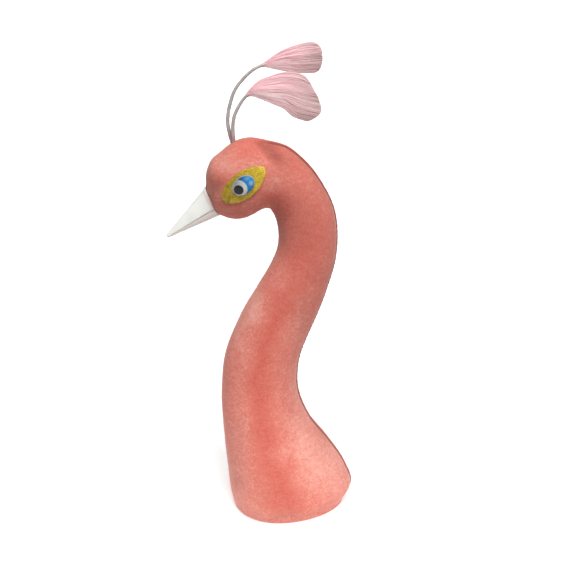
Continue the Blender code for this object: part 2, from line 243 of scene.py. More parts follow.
# The seam: how high its lap stands, where it starts on the crown, and how far it strays to the
# bird's left there. It pulls back to the middle of the neck and then wanders a little.
SEAM_STEP = 0.0006
SEAM_FROM_X = -0.017
SEAM_START_RUN = 0.008
SEAM_DRIFT = 0.0034
NECK_DRIFT_SHARE = 0.2
DRIFT_FROM_Z = 0.185
DRIFT_RUN = 0.030
SEAM_WANDER = 0.0006
WANDER_SPACING = 0.03

# Across the seam: the lap is flat on top and falls away, the cloth under it is drawn down, and the
# stitches gather both. The shade lies in the step.
LAP_EDGE = 0.0003
LAP_TOP = 0.0006
LAP_FALL = 0.0030
DRAWN_DOWN = 0.45
DRAWN_WIDTH = 0.0015
STEP_SHADE_AT = -0.0004
STEP_SHADE_WIDTH = 0.0010
PUCKER_SPACING = 0.0034
PUCKER_SLANT = 0.6
PUCKER_SHARE = 0.08

# The fold: its crease as x and z. Behind it the cloth dips, deepest a little way off: how far off
# and how wide, for the dip and then for its painted shade. In front the cloth turns up at once:
# how wide and how strong, and then for its painted shade. The fold fades out at its ends and
# towards the seam.
FOLD_LINE = [
    (-0.0193, 0.2285),
    (-0.0160, 0.2261),
    (-0.0126, 0.2228),
    (-0.0097, 0.2190),
    (-0.0086, 0.2165),
]
FOLD_DEPTH = 0.0011
FOLD_FADE = 0.006
FOLD_LOW_Z = 0.2145
FOLD_FAR_X = -0.022
FOLD_HOLLOW = (0.0018, 0.0040)
FOLD_HOLLOW_SHADE = (0.0032, 0.0042)
FOLD_FRONT = (0.0022, 0.8)
FOLD_FRONT_SHADE = (0.0009, 0.56)

LUMP_HEIGHT = 0.0004
LUMP_SPACING = 0.026
NAP_HEIGHT = 0.00010
NAP_SPACING = 0.0019

# Marks on the pile: some where a hand stroked it, the rest painted highlight where the cloth
# faces up to the light, on the haunch and brow, and painted shade under the head and on the face.
# For each, x and z of the middle of the mark and its half length along each, in millimetres, and
# how far it pales (+) or darkens (-) the cloth.
BRUSH_MARKS_AND_PAINTED_LIGHT = [
    (9, 48, 10, 14, 0.24),
    (19, 30, 12, 14, 0.24),
    (7, 74, 8, 16, 0.14),
    (-29, 50, 7, 42, 0.11),
    (-20, 10, 16, 8, 0.10),
    (-20, 133, 5, 11, 0.20),
    (-22, 126, 9, 7, 0.20),
    (-30, 113, 5, 12, 0.14),
    (6, 122, 7, 16, 0.10),
    (-31, 216, 12, 3.5, 0.13),
    (-17, 217.5, 7, 2.5, 0.13),
    (2, 216, 6, 5, -0.10),
    (-38, 219, 8, 5, 0.10),
    (-44, 213, 5, 4, 0.06),
    (1, 151, 8, 10, 0.20),
    (31, 27, 8, 14, 0.16),
    (30, 14, 7, 6, 0.08),
    (22, 46, 6, 10, 0.05),
    (-7, 44, 6, 7, 0.16),
    (0, 3, 40, 6, 0.11),
    (-32, 20, 7, 14, 0.05),
    (-6, 207, 8, 5, 0.10),
    (-41, 206, 8, 5, -0.20),
    (-9, 200, 9, 5, -0.20),
    (-43, 198, 7, 8, 0.06),
    (-24, 227, 9, 4, -0.11),
    (4, 199, 9, 8, -0.04),
    (12, 176, 12, 16, -0.18),
    (-5, 178, 5, 17, -0.10),
    (-3, 191, 7, 10, -0.20),
    (12, 152, 10, 14, -0.12),
]

# One long stroke down the neck laid the pile dark, and painted shade darkens it further where
# the neck faces straight on and the pile's sheen is least: its middle line, and half its width.
STREAK = [
    (3, 161, 6),
    (2, 144, 6),
    (-7, 127, 6),
    (-13, 110, 6),
    (-17, 92, 6),
    (-18, 75, 6),
    (-15, 55, 6.5),
    (-10, 41, 7),
    (-5, 27, 8),
    (0, 10, 10),
]
STREAK_SHADE = -0.26
STREAK_PAST_TOP = 14
STREAK_PAST_FOOT = 8
STREAK_TOP_FADE = 22
STREAK_FOOT_FADE = 20

# Painted shade that darkens and browns the pile, most under the head, on the face and round the
# foot: middle, half lengths, and how much.
PAINTED_DARK_SPOTS = [
    (-5, 178, 5, 17, 0.28),
    (-43, 201, 8, 9, 0.32),
    (-41, 204, 5, 5, 0.20),
    (8, 173, 11, 9, 0.10),
    (3, 70, 6, 12, 0.08),
    (-16, 14, 10, 14, 0.05),
    (-46, 210, 5, 7, 0.22),
    (-22, 130, 6, 10, 0.07),
    (8, 128, 7, 14, 0.18),
    (8, 191, 13, 12, 0.12),
    (-2, 217, 7, 6, 0.14),
    (16, 152, 7, 12, 0.08),
    (-32, 22, 7, 14, 0.20),
    (-30, 46, 6, 14, 0.07),
    (0, 2, 45, 6, 0.26),
    (-5, 14, 24, 14, 0.09),
    (23, 46, 7, 10, 0.08),
    (-32, 190, 9, 7, 0.08),
]

# The fold takes painted shade, darker and duller. Every mark has a ragged edge: each way's
# unevenness is read from its own fixed place in the noise.
PLAIN_SHADE = 0.5
FOLD_DARKENS = 0.28
FOLD_PAINTED_DARK = 0.36
RAGGED_BY = 0.004
RAGGED_SPACING = 0.012
RAGGED_ASIDES = (Vector((3.7, 1.9, 8.3)), Vector((-5.2, 6.4, 2.6)))


def bell(off, width):
    """A smooth bump: 1 where off is 0, and down to about a third that width away."""
    return math.exp(-((off / width) ** 2))


def rising(value, start, run):
    """0 up to the start, then rising evenly to 1 over the run."""
    return min(1.0, max(0.0, (value - start) / run))


def marks_at(spots, x, z):
    """What the marks of a list add up to there, with x and z in millimetres."""
    return sum(
        amount * math.exp(-(((x - at_x) / reach_x) ** 2) - ((z - at_z) / reach_z) ** 2)
        for at_x, at_z, reach_x, reach_z, amount in spots
    )


def streak_at(x, z):
    """How strongly the streak lies there, from 0 to 1, with x and z in millimetres."""
    top, foot = STREAK[0][1] + STREAK_PAST_TOP, STREAK[-1][1] - STREAK_PAST_FOOT
    if not foot < z < top:
        return 0.0
    heights = [row[1] for row in reversed(STREAK)]
    middle = float(np.interp(z, heights, [row[0] for row in reversed(STREAK)]))
    half = float(np.interp(z, heights, [row[2] for row in reversed(STREAK)]))
    fades = min(1.0, (top - z) / STREAK_TOP_FADE) * rising(z, -STREAK_PAST_FOOT, STREAK_FOOT_FADE)
    return fades * bell(x - middle, half)


def fold_at(point):
    """How deep the fold is there, from 0 to 1, and how far into its painted shade the point lies."""
    best = None
    for (ax, az), (bx, bz) in zip(FOLD_LINE, FOLD_LINE[1:]):
        run = Vector((bx - ax, bz - az))
        off = Vector((point.x - ax, point.z - az))
        share = min(1.0, max(0.0, off.dot(run) / run.length_squared))
        gap = off - run * share
        beyond = run.normalized().x * gap.y - run.normalized().y * gap.x
        if best is None or gap.length < best[0]:
            best = (gap.length, beyond)
    distance, beyond = best
    ends = rising(abs(point.y), 0.0, FOLD_FADE) if point.z > HEAD_FROM_Z else 0.0
    ends *= rising(point.z, FOLD_LOW_Z, FOLD_FADE) * rising(point.x, FOLD_FAR_X, FOLD_FADE)
    if beyond > 0:
        deepest, width = FOLD_HOLLOW
        darkest, shade_width = FOLD_HOLLOW_SHADE
        return ends * bell(distance - deepest, width), ends * bell(distance - darkest, shade_width)
    width, depth = FOLD_FRONT
    shade_width, shade = FOLD_FRONT_SHADE
    return ends * depth * bell(distance, width), ends * shade * bell(distance, shade_width)


def seam_at(point, off_seam):
    """The lapped seam, with off_seam the distance to the bird's right of it: the right-hand cloth
    folds over the left, so it stands up in a step. Gives the rise and how shaded the step is."""
    starts = rising(point.x, SEAM_FROM_X, SEAM_START_RUN) if point.z > HEAD_FROM_Z else 1.0
    stitches = (point.z + PUCKER_SLANT * point.x) / PUCKER_SPACING
    gather = 1 - PUCKER_SHARE + PUCKER_SHARE * math.sin(2 * math.pi * stitches)
    if off_seam > 0:
        rise = bell(max(off_seam - LAP_TOP, 0.0), LAP_FALL) * min(1.0, off_seam / LAP_EDGE)
    else:
        rise = -DRAWN_DOWN * bell(off_seam, DRAWN_WIDTH)
    shade = bell(off_seam - STEP_SHADE_AT, STEP_SHADE_WIDTH)
    return starts * rise * gather * SEAM_STEP, starts * shade


normals = [v.normal.copy() for v in figure.data.vertices]
nap_and_painted_shades = []
painted_dark_shares = []
for k, ring in enumerate(cloth):
    around_length = sum((ring[i] - ring[i - 1]).length for i in range(AROUND_CLOTH))
    for i in range(AROUND_CLOTH):
        n = k * AROUND_CLOTH + i
        point = cloth_points[n]
        u = cloth_uvs[n][0]
        drift = SEAM_DRIFT * max(NECK_DRIFT_SHARE, rising(point.z, DRIFT_FROM_Z, DRIFT_RUN))
        drift += SEAM_WANDER * noise.noise(Vector((0.0, 0.0, point.z / WANDER_SPACING)))
        off_seam = (u if u < 0.5 else u - 1.0) * around_length + drift
        step, seam_shade = seam_at(point, off_seam)
        fold, fold_shade = fold_at(point)
        lumps = noise.noise(point / LUMP_SPACING) * LUMP_HEIGHT
        nap = noise.fractal(point / NAP_SPACING, 0.6, 2.1, 3) * NAP_HEIGHT
        off_floor = rising(point.z, 0.0, BASE_ROUNDING)
        rise = (lumps + nap + step - fold * FOLD_DEPTH) * off_floor
        figure.data.vertices[n].co = point + normals[n] * rise
        warp_x, warp_z = [
            noise.noise(point / RAGGED_SPACING + aside) * RAGGED_BY for aside in RAGGED_ASIDES
        ]
        mark_x, mark_z = (point.x + warp_x) * 1000, (point.z + warp_z) * 1000
        # The pile's tone, with painted highlight and painted shade in it, and the painted shade that
        # darkens and browns it.
        shade = PLAIN_SHADE - FOLD_DARKENS * fold_shade
        shade += STREAK_SHADE * streak_at(mark_x, mark_z) + marks_at(BRUSH_MARKS_AND_PAINTED_LIGHT, mark_x, mark_z)
        painted_dark = FOLD_PAINTED_DARK * fold_shade + marks_at(PAINTED_DARK_SPOTS, mark_x, mark_z)
        nap_and_painted_shades.append((min(max(shade, 0.0), 1.0), seam_shade))
        painted_dark_shares.append((min(painted_dark, 1.0), 0.0))
figure.data.update()
# The pile's tone with its painted highlight and shade, with the seam's shade; and the painted shade
# that browns the pile.
brushing = figure.data.uv_layers.new(name="brushing")
dulling = figure.data.uv_layers.new(name="dulling")
for loop in figure.data.loops:
    brushing.data[loop.index].uv = nap_and_painted_shades[loop.vertex_index]
    dulling.data[loop.index].uv = painted_dark_shares[loop.vertex_index]

# Flocked velvet, nylon pile about 0.6 mm long glued upright on cloth: it scatters light with no
# gloss and pales towards grazing angles, which is painted into its colour too as a pale sheen. It
# lies in lighter and darker patches, some where a hand stroked it and some painted highlight and
# painted shade. The pile itself is too fine to show, so it is drawn as a grain of about 1 mm.
MARK_SPACING = 0.0046
MARK_STRETCH = (1.0, 1.0, 1.8)
GRAIN_SPACING = 0.0013

flock, tree = new_material("flocked velvet")
places = add_node(tree, "ShaderNodeTexCoord")
brushed_and_painted_light = add_node(tree, "ShaderNodeUVMap", uv_map="brushing")
painted_tone_and_seam = add_node(tree, "ShaderNodeSeparateXYZ", {"Vector": brushed_and_painted_light.outputs["UV"]})
flattened = add_node(
    tree,
    "ShaderNodeVectorMath",
    {0: places.outputs["Object"], 1: MARK_STRETCH},
    operation="MULTIPLY",
)
marks = add_node(
    tree,
    "ShaderNodeTexNoise",
    {"Vector": flattened.outputs["Vector"], "Scale": 1 / MARK_SPACING, "Detail": 3.0, "Roughness": 0.6},
)
grain = add_node(
    tree,
    "ShaderNodeTexNoise",
    {"Vector": places.outputs["Object"], "Scale": 1 / GRAIN_SPACING, "Detail": 2.0, "Roughness": 0.6},
)
mark_shade = add_node(
    tree,
    "ShaderNodeMapRange",
    {"Value": marks.outputs["Fac"], "From Min": 0.3, "From Max": 0.7, "To Min": -0.08, "To Max": 0.08},
)
grain_shade = add_node(
    tree,
    "ShaderNodeMapRange",
    {"Value": grain.outputs["Fac"], "From Min": 0.3, "From Max": 0.7, "To Min": -0.13, "To Max": 0.12},
)
marked = add_node(
    tree,
    "ShaderNodeMath",
    {0: painted_tone_and_seam.outputs["X"], 1: mark_shade.outputs["Result"]},
    operation="ADD",
)
lie_and_painted_light = add_node(
    tree,
    "ShaderNodeMath",
    {0: marked.outputs["Value"], 1: grain_shade.outputs["Result"]},
    operation="ADD",
    use_clamp=True,
)
coral = add_node(tree, "ShaderNodeValToRGB", {"Fac": lie_and_painted_light.outputs["Value"]})
ramp = coral.color_ramp
ramp.elements[0].position, ramp.elements[0].color = 0.0, linear("#c6564a")
ramp.elements[1].position, ramp.elements[1].color = 1.0, linear("#f0b2a4")
middle_tone = ramp.elements.new(0.5)
middle_tone.color = linear("#d67b6c")
seamed = add_node(
    tree,
    "ShaderNodeMix",
    {0: painted_tone_and_seam.outputs["Y"], 6: coral.outputs["Color"], 7: linear("#8d4740")},
    data_type="RGBA",
)
# Painted shade that darkens and browns the pile.
painted_darkening_map = add_node(tree, "ShaderNodeUVMap", uv_map="dulling")
painted_dark_share = add_node(tree, "ShaderNodeSeparateXYZ", {"Vector": painted_darkening_map.outputs["UV"]})
painted_darkened = add_node(
    tree,
    "ShaderNodeMix",
    {0: painted_dark_share.outputs["X"], 6: seamed.outputs[2], 7: linear("#5f4c44")},
    data_type="RGBA",
)
# A painted sheen: the colour pales where the pile turns away from view.
turned_away = add_node(tree, "ShaderNodeLayerWeight", {"Blend": 0.35})
painted_sheen_share = add_node(
    tree,
    "ShaderNodeMapRange",
    {"Value": turned_away.outputs["Facing"], "From Min": 0.55, "To Max": 0.5},
    interpolation_type="SMOOTHSTEP",
)
painted_sheen = add_node(
    tree,
    "ShaderNodeMix",
    {0: painted_sheen_share.outputs["Result"], 6: painted_darkened.outputs[2], 7: linear("#efc6bc")},
    data_type="RGBA",
)
pile_bump = add_node(
    tree, "ShaderNodeBump", {"Height": grain.outputs["Fac"], "Strength": 0.35, "Distance": 0.0005}
)
shader = add_node(
    tree,
    "ShaderNodeBsdfPrincipled",
    {
        "Base Color": painted_sheen.outputs[2],
        "Roughness": 0.95,
        "Specular IOR Level": 0.1,
        "Sheen Weight": 0.38,
        "Sheen Roughness": 0.5,
        "Sheen Tint": linear("#f2cfc7"),
        "Normal": pile_bump.outputs["Normal"],
    },
)
add_node(tree, "ShaderNodeOutputMaterial", {"Surface": shader.outputs["BSDF"]})
fit(figure, "head_and_neck", flock)


# The beak
# One hollow styrene moulding, glossy and off-white, glued against the face. A rolled lip runs along
# the upper bill where it meets the cloth, and a groove marks the gape, with the lower bill set in.

BEAK_LENGTH = 0.0350
BEAK_HEIGHT = 0.0185
BEAK_WIDTH = 0.0149
BEAK_DROP_DEG = 37.1
BEAK_TIP_RADIUS = 0.0014
BEAK_LIP_LENGTH = 0.0020
BEAK_LIP_PROUD = 0.0004
LIP_ROLL = 1.5
LIP_START_SHARE = 0.15
LIP_CREST_SHARE = 0.72
LIP_STEPS = 14
GAPE_SHARE = 0.38
GAPE_LEDGE = 0.0010
SEAT_GAP = 0.0003
BEAK_SEAT = (-19.4, 83.2)
ARCH_STEPS = 24
KEEL_STEPS = 16
BODY_STEPS = 60
TIP_TURNS_DEG = (15.0, 30.0, 45.0, 60.0, 72.0, 82.0)
MOULD_WAVE_SPACING = 0.006
MOULD_WAVE_HEIGHT = 0.00012

# The groove along the gape: how far below it and in from the side each point lies, and its share of
# the lip. The lower bill starts under it.
GAPE_GROOVE = [
    (0.00028, 0.00008, 0.7),
    (0.00045, 0.00035, 0.3),
    (0.00040, 0.00085, 0.0),
    (0.00050, 0.00130, 0.0),
    (0.00085, 0.00120, 0.0),
]
LOWER_BILL_BELOW = 0.00105


def beak_section():
    """Heights and widths round the beak at the face: the arch of the upper bill with a rounded
    lower edge, the gape's groove, and the lower bill, each with its share of the lip."""
    under = BEAK_HEIGHT * GAPE_SHARE
    top = BEAK_HEIGHT - under
    gape = under - BEAK_HEIGHT / 2
    half = BEAK_WIDTH / 2
    side = []
    for i in range(1, ARCH_STEPS + 1):
        a = math.pi / 2 * (1 - i / ARCH_STEPS)
        side.append((gape + top * math.sin(a), half * math.cos(a), 1.0))
    for below, inward, lip in GAPE_GROOVE:
        side.append((gape - below, half - inward, lip))
    keel_half = half - GAPE_LEDGE
    for i in range(KEEL_STEPS):
        a = math.pi / 2 * i / KEEL_STEPS
        high = gape - LOWER_BILL_BELOW - (under - LOWER_BILL_BELOW) * math.sin(a)
        side.append((high, keel_half * math.cos(a), 0.0))
    far = [(high, -wide, lip) for high, wide, lip in reversed(side)]
    crest = [(gape + top, 0.0, 1.0)]
    keel = [(-BEAK_HEIGHT / 2, 0.0, 0.0)]
    return crest + side + keel + far


drop = math.radians(BEAK_DROP_DEG)
beak_ahead = Vector((-math.cos(drop), 0.0, -math.sin(drop)))
beak_up = Vector((-math.sin(drop), 0.0, math.cos(drop)))
beak_from = on_figure(*BEAK_SEAT) + beak_ahead * BEAK_LENGTH
beak_seat = smooth_skin.ray_cast(beak_from, -beak_ahead)[0]
beak_body = BEAK_LENGTH - BEAK_TIP_RADIUS
tip_share = 2 * BEAK_TIP_RADIUS / BEAK_HEIGHT


def on_beak(high, wide, along, swell=0.0):
    """A point of the taper, that far along from the seat."""
    share = 1 - (1 - tip_share) * along / beak_body + swell
    return beak_seat + (beak_up * high + Vector((0.0, wide, 0.0))) * share + beak_ahead * along


def face_depth(high, wide, share):
    """How far along its axis the beak meets the cloth there."""
    along = 0.0
    for _ in range(4):
        start = on_beak(high * share, wide * share, along) + beak_ahead * BEAK_LENGTH
        along = (smooth_skin.ray_cast(start, -beak_ahead)[0] - beak_seat).dot(beak_ahead) + SEAT_GAP
    return along


# From the seat out. The second place value runs to 0.1 over the lip, to 0.95 over the bills and to
# 1 over the tip, which is how the material finds the lip.
section = beak_section()
lip_swell = 2 * BEAK_LIP_PROUD / BEAK_HEIGHT
beak_rings = []
beak_uvs = []
for share in (0.3, 0.6, 0.9):
    beak_rings.append([on_beak(h * share, w * share, face_depth(h, w, share)) for h, w, _ in section])
    beak_uvs += [(i / len(section), 0.0) for i in range(len(section))]
edge = [face_depth(h, w, 1.0) for h, w, _ in section]
for step in range(LIP_STEPS + 1):
    out = step / LIP_STEPS
    if out < LIP_CREST_SHARE:
        rolled = math.sin(math.pi / 2 * out / LIP_CREST_SHARE)
        roll = LIP_START_SHARE + (1 - LIP_START_SHARE) * rolled
    else:
        roll = math.cos(math.pi / 2 * (out - LIP_CREST_SHARE) / (1 - LIP_CREST_SHARE)) ** 0.7
    ring = []
    for (h, w, lip), depth in zip(section, edge):
        ring.append(on_beak(h, w, depth + BEAK_LIP_LENGTH * out, lip_swell * lip * roll * LIP_ROLL))
    beak_rings.append(ring)
    beak_uvs += [(i / len(section), 0.02 + 0.08 * out) for i in range(len(section))]
after_lip = [depth + BEAK_LIP_LENGTH for depth in edge]
for step in range(1, BODY_STEPS + 1):
    share = step / BODY_STEPS
    ring = []
    for (h, w, _), start in zip(section, after_lip):
        along = start + (beak_body - start) * share
        ring.append(on_beak(h, w, along))
    beak_rings.append(ring)
    beak_uvs += [(i / len(section), 0.1 + 0.85 * share) for i in range(len(section))]
for turn_deg in TIP_TURNS_DEG:
    turn = math.radians(turn_deg)
    on_tip = beak_seat + beak_ahead * (beak_body + BEAK_TIP_RADIUS * math.sin(turn))
    size = tip_share * math.cos(turn)
    beak_rings.append([on_tip + (beak_up * h + Vector((0.0, w, 0.0))) * size for h, w, _ in section])
    beak_uvs += [(i / len(section), 0.95 + 0.05 * turn_deg / 90) for i in range(len(section))]
beak_points = [p for ring in beak_rings for p in ring]
beak = new_piece("moulded_beak", beak_points, tube_faces(len(beak_rings), len(section)), beak_uvs)
for vertex in beak.data.vertices:
    wave_here = noise.noise(vertex.co / MOULD_WAVE_SPACING)
    vertex.co += vertex.normal * wave_here * MOULD_WAVE_HEIGHT

# High-impact styrene, injection moulded and polished: a gloss that is clear but a little wavy, with
# the faint grey haze of handling, a painted warm reflection of the cloth along the lip, and painted
# shade, a little darker and warmer, on the lower bill.
HAZE_SPACING = 0.007
GLOSS_WAVE_SPACING = 0.004

styrene, tree = new_material("moulded styrene")
places = add_node(tree, "ShaderNodeTexCoord")
spread = add_node(tree, "ShaderNodeSeparateXYZ", {"Vector": places.outputs["UV"]})
haze = add_node(
    tree,
    "ShaderNodeTexNoise",
    {"Vector": places.outputs["Object"], "Scale": 1 / HAZE_SPACING, "Detail": 3.0},
)
haze_share = add_node(
    tree,
    "ShaderNodeMapRange",
    {"Value": haze.outputs["Fac"], "From Min": 0.35, "From Max": 0.7, "To Min": 0.0, "To Max": 0.6},
)
hazed = add_node(
    tree,
    "ShaderNodeMix",
    {0: haze_share.outputs["Result"], 6: linear("#fbfbf5"), 7: linear("#ecebe3")},
    data_type="RGBA",
)
# A painted warm reflection of the cloth along the lip.
lip_share = add_node(
    tree,
    "ShaderNodeMapRange",
    {"Value": spread.outputs["Y"], "From Min": 0.08, "From Max": 0.1, "To Min": 1.0, "To Max": 0.0},
    interpolation_type="SMOOTHSTEP",
)
lipped = add_node(
    tree,
    "ShaderNodeMix",
    {0: lip_share.outputs["Result"], 6: hazed.outputs[2], 7: linear("#fff0e9")},
    data_type="RGBA",
)
# Painted shade on the lower bill, which faces down: a little darker and warmer.
off_keel = add_node(tree, "ShaderNodeMath", {0: spread.outputs["X"], 1: 0.5}, operation="SUBTRACT")
side_share = add_node(tree, "ShaderNodeMath", {0: off_keel.outputs["Value"]}, operation="ABSOLUTE")
lower_share = add_node(
    tree,
    "ShaderNodeMapRange",
    {
        "Value": side_share.outputs["Value"],
        "From Min": 0.17,
        "From Max": 0.24,
        "To Min": 1.0,
        "To Max": 0.0,
    },
)
lower_bill_shaded = add_node(
    tree,
    "ShaderNodeMix",
    {0: lower_share.outputs["Result"], 6: lipped.outputs[2], 7: linear("#f4ebe4")},
    data_type="RGBA",
)
wave = add_node(
    tree,
    "ShaderNodeTexNoise",
    {"Vector": places.outputs["Object"], "Scale": 1 / GLOSS_WAVE_SPACING, "Detail": 1.0},
)
wave_bump = add_node(
    tree, "ShaderNodeBump", {"Height": wave.outputs["Fac"], "Strength": 0.25, "Distance": 0.0004}
)
shine = add_node(
    tree,
    "ShaderNodeMapRange",
    {"Value": haze.outputs["Fac"], "From Min": 0.3, "From Max": 0.7, "To Min": 0.18, "To Max": 0.34},
)
shader = add_node(
    tree,
    "ShaderNodeBsdfPrincipled",
    {
        "Base Color": lower_bill_shaded.outputs[2],
        "Roughness": shine.outputs["Result"],
        "IOR": 1.59,
        "Normal": wave_bump.outputs["Normal"],
    },
)
add_node(tree, "ShaderNodeOutputMaterial", {"Surface": shader.outputs["BSDF"]})
fit(beak, "beak", styrene)


# The eye patches
# A leaf of gold glitter sheet on each cheek, glued flat to the cloth: blunt towards the beak and
# pointed towards the nape. The glitter is coarse six-sided flakes lying at all tilts in clear glue.

PATCH_LENGTH = 0.0304
PATCH_WIDTH = 0.0147
PATCH_THICKNESS = 0.0008
PATCH_TILT_DEG = 37.7
PATCH_FRONT_BLUNTNESS = 0.61
PATCH_BACK_BLUNTNESS = 0.68
PATCH_SEAT = (-10.9, 89.5)
LEAF_AROUND = 120
FLAKE_COUNT = 3600
FLAKE_RADIUS = 0.00027
FLAKE_SIZES = (0.75, 1.3)
FLAKE_LEAN = 0.13
FLAKE_FACES = (-0.00012, 0.00003)
FLAKE_POINTS = 12
MOTTLE_SPACING = 0.0022
rng = np.random.default_rng(7)


def on_cheek(side, x, z):
    """The cheek's point at that x and z, and its normal."""
    start = Vector((x, side * FIGURE_HEIGHT, z))
    point, normal, _, _ = smooth_skin.ray_cast(start, Vector((0.0, -side, 0.0)))
    return point, normal if normal.y * side > 0 else -normal


def turned(along, across, tilt_deg):
    """A place given along and across a long axis that rises towards the back of the head."""
    tilt = math.radians(tilt_deg)
    return (
        along * math.cos(tilt) - across * math.sin(tilt),
        along * math.sin(tilt) + across * math.cos(tilt),
    )


def leaf_half_width(t):
    """Half the leaf's width at that share of its length, from its blunt end."""
    peak = PATCH_FRONT_BLUNTNESS / (PATCH_FRONT_BLUNTNESS + PATCH_BACK_BLUNTNESS)
    front = (t / peak) ** PATCH_FRONT_BLUNTNESS
    back = ((1 - t) / (1 - peak)) ** PATCH_BACK_BLUNTNESS
    return PATCH_WIDTH / 2 * front * back


def make_leaf(side, name):
    """The sheet: rings of points shrunk from its cut edge, laid on the cheek, under and over."""
    seat = on_figure(*PATCH_SEAT)
    outline = []
    for i in range(LEAF_AROUND):
        turn = 2 * math.pi * i / LEAF_AROUND
        t = (1 - math.cos(turn)) / 2
        half = leaf_half_width(t) * (1.0 if turn < math.pi else -1.0)
        outline.append(turned(PATCH_LENGTH * (t - 0.5), half, PATCH_TILT_DEG))
    points = []
    levels = [(s, SEAT_GAP) for s in np.linspace(0.05, 1.0, 14)]
    levels += [(1.006, SEAT_GAP + PATCH_THICKNESS * 0.5)]
    levels += [(s, SEAT_GAP + PATCH_THICKNESS * 0.86) for s in np.linspace(1.0, 0.05, 20)]
    for share, height in levels:
        for x, z in outline:
            point, normal = on_cheek(side, seat.x + x * share, seat.z + z * share)
            points.append(point + normal * height)
    return new_piece(name, points, tube_faces(len(levels), LEAF_AROUND))


def make_flakes(side, name):
    """Flakes over the leaf: flat six-sided slabs at a scatter of tilts, their feet in the sheet. Each
    has one tone, and a painted highlight brightens more of them towards the nape, as in the
    photograph."""
    seat = on_figure(*PATCH_SEAT)
    points, faces, uvs = [], [], []
    while len(points) < FLAKE_COUNT * FLAKE_POINTS:
        t = rng.uniform(0.012, 0.985)
        across = rng.uniform(-1.0, 1.0) * PATCH_WIDTH / 2
        if abs(across) > leaf_half_width(t) - FLAKE_RADIUS * 0.4:
            continue
        x, z = turned(PATCH_LENGTH * (t - 0.5), across, PATCH_TILT_DEG)
        point, normal = on_cheek(side, seat.x + x, seat.z + z)
        lean = Vector(rng.normal(0.0, FLAKE_LEAN, 3))
        facing = (normal + lean).normalized()
        one = facing.orthogonal().normalized()
        two = facing.cross(one)
        radius = FLAKE_RADIUS * rng.uniform(*FLAKE_SIZES)
        spin = rng.uniform(0.0, math.pi)
        base = point + normal * (SEAT_GAP + PATCH_THICKNESS * rng.uniform(0.85, 1.02))
        first = len(points)
        mottle = noise.noise(point / MOTTLE_SPACING)
        # Painted highlight: the tone rises towards the nape.
        shine = 0.08 + 0.28 * t**1.5 + 0.11 * mottle + rng.uniform(-0.05, 0.12)
        shade = (shine, rng.uniform(0.0, 1.0))
        for height in FLAKE_FACES:
            for i in range(6):
                a = spin + math.pi * i / 3
                points.append(base + (one * math.cos(a) + two * math.sin(a)) * radius + facing * height)
                uvs.append(shade)
        faces.append(tuple(first + 6 + i for i in range(6)))
        faces.append(tuple(first + i for i in reversed(range(6))))
        for i in range(6):
            j = (i + 1) % 6
            faces.append((first + i, first + j, first + 6 + j, first + 6 + i))
    flakes = new_piece(name, points, faces, uvs)
    flakes.data.shade_flat()
    return flakes


# Glitter sheet, metallised film cut into flakes and set in clear glue on a backing: each flake
# mirrors its own way, and that reflection is painted into its colour as well, so tones jump from
# deep olive to bright yellow gold from flake to flake.
glitter, tree = new_material("metallised film flakes")
places = add_node(tree, "ShaderNodeTexCoord")
spread = add_node(tree, "ShaderNodeSeparateXYZ", {"Vector": places.outputs["UV"]})
tone = add_node(
    tree,
    "ShaderNodeMapRange",
    {"Value": spread.outputs["X"], "From Min": 0.0, "From Max": 0.5, "To Min": 0.0, "To Max": 1.0},
)
gold = add_node(
    tree,
    "ShaderNodeMix",
    {0: tone.outputs["Result"], 6: linear("#7a6409"), 7: linear("#e8cb42")},
    data_type="RGBA",
)
warmth = add_node(
    tree,
    "ShaderNodeMapRange",
    {"Value": spread.outputs["Y"], "From Min": 0.8, "From Max": 1.0, "To Min": 0.0, "To Max": 0.7},
)
warmed = add_node(
    tree,
    "ShaderNodeMix",
    {0: warmth.outputs["Result"], 6: gold.outputs[2], 7: linear("#d9a032")},
    data_type="RGBA",
)
shader = add_node(
    tree,
    "ShaderNodeBsdfPrincipled",
    {
        "Base Color": warmed.outputs[2],
        "Metallic": 0.3,
        "Roughness": 0.45,
        "Specular IOR Level": 0.3,
        "Coat Weight": 0.12,
        "Coat Roughness": 0.2,
    },
)
add_node(tree, "ShaderNodeOutputMaterial", {"Surface": shader.outputs["BSDF"]})

# The backing under the flakes: PET sheet with a bed of finer glitter, so it is dark gold and grainy.
# Its grit, about 0.1 mm, is too fine to show and is drawn as cells of 0.6 mm.
BED_SPACING = 0.0006

backing, tree = new_material("glitter sheet backing")
places = add_node(tree, "ShaderNodeTexCoord")
bed = add_node(
    tree, "ShaderNodeTexVoronoi", {"Vector": places.outputs["Object"], "Scale": 1 / BED_SPACING}
)
bed_tone = add_node(tree, "ShaderNodeSeparateColor", {"Color": bed.outputs["Color"]})
bedded = add_node(
    tree,
    "ShaderNodeMix",
    {0: bed_tone.outputs["Red"], 6: linear("#8f7b12"), 7: linear("#cbb038")},
    data_type="RGBA",
)
bed_bump = add_node(
    tree, "ShaderNodeBump", {"Height": bed_tone.outputs["Green"], "Strength": 0.6, "Distance": 0.0002}
)
shader = add_node(
    tree,
    "ShaderNodeBsdfPrincipled",
    {
        "Base Color": bedded.outputs[2],
        "Metallic": 0.4,
        "Roughness": 0.42,
        "Normal": bed_bump.outputs["Normal"],
    },
)
add_node(tree, "ShaderNodeOutputMaterial", {"Surface": shader.outputs["BSDF"]})

for side, hand in ((-1.0, "left"), (1.0, "right")):
    fit(make_leaf(side, "glitter_leaf_" + hand), "eye_patch_" + hand, backing)
    flakes = make_flakes(side, "glitter_flakes_" + hand)
    flakes.data.materials.append(glitter)
    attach(flakes, "root")


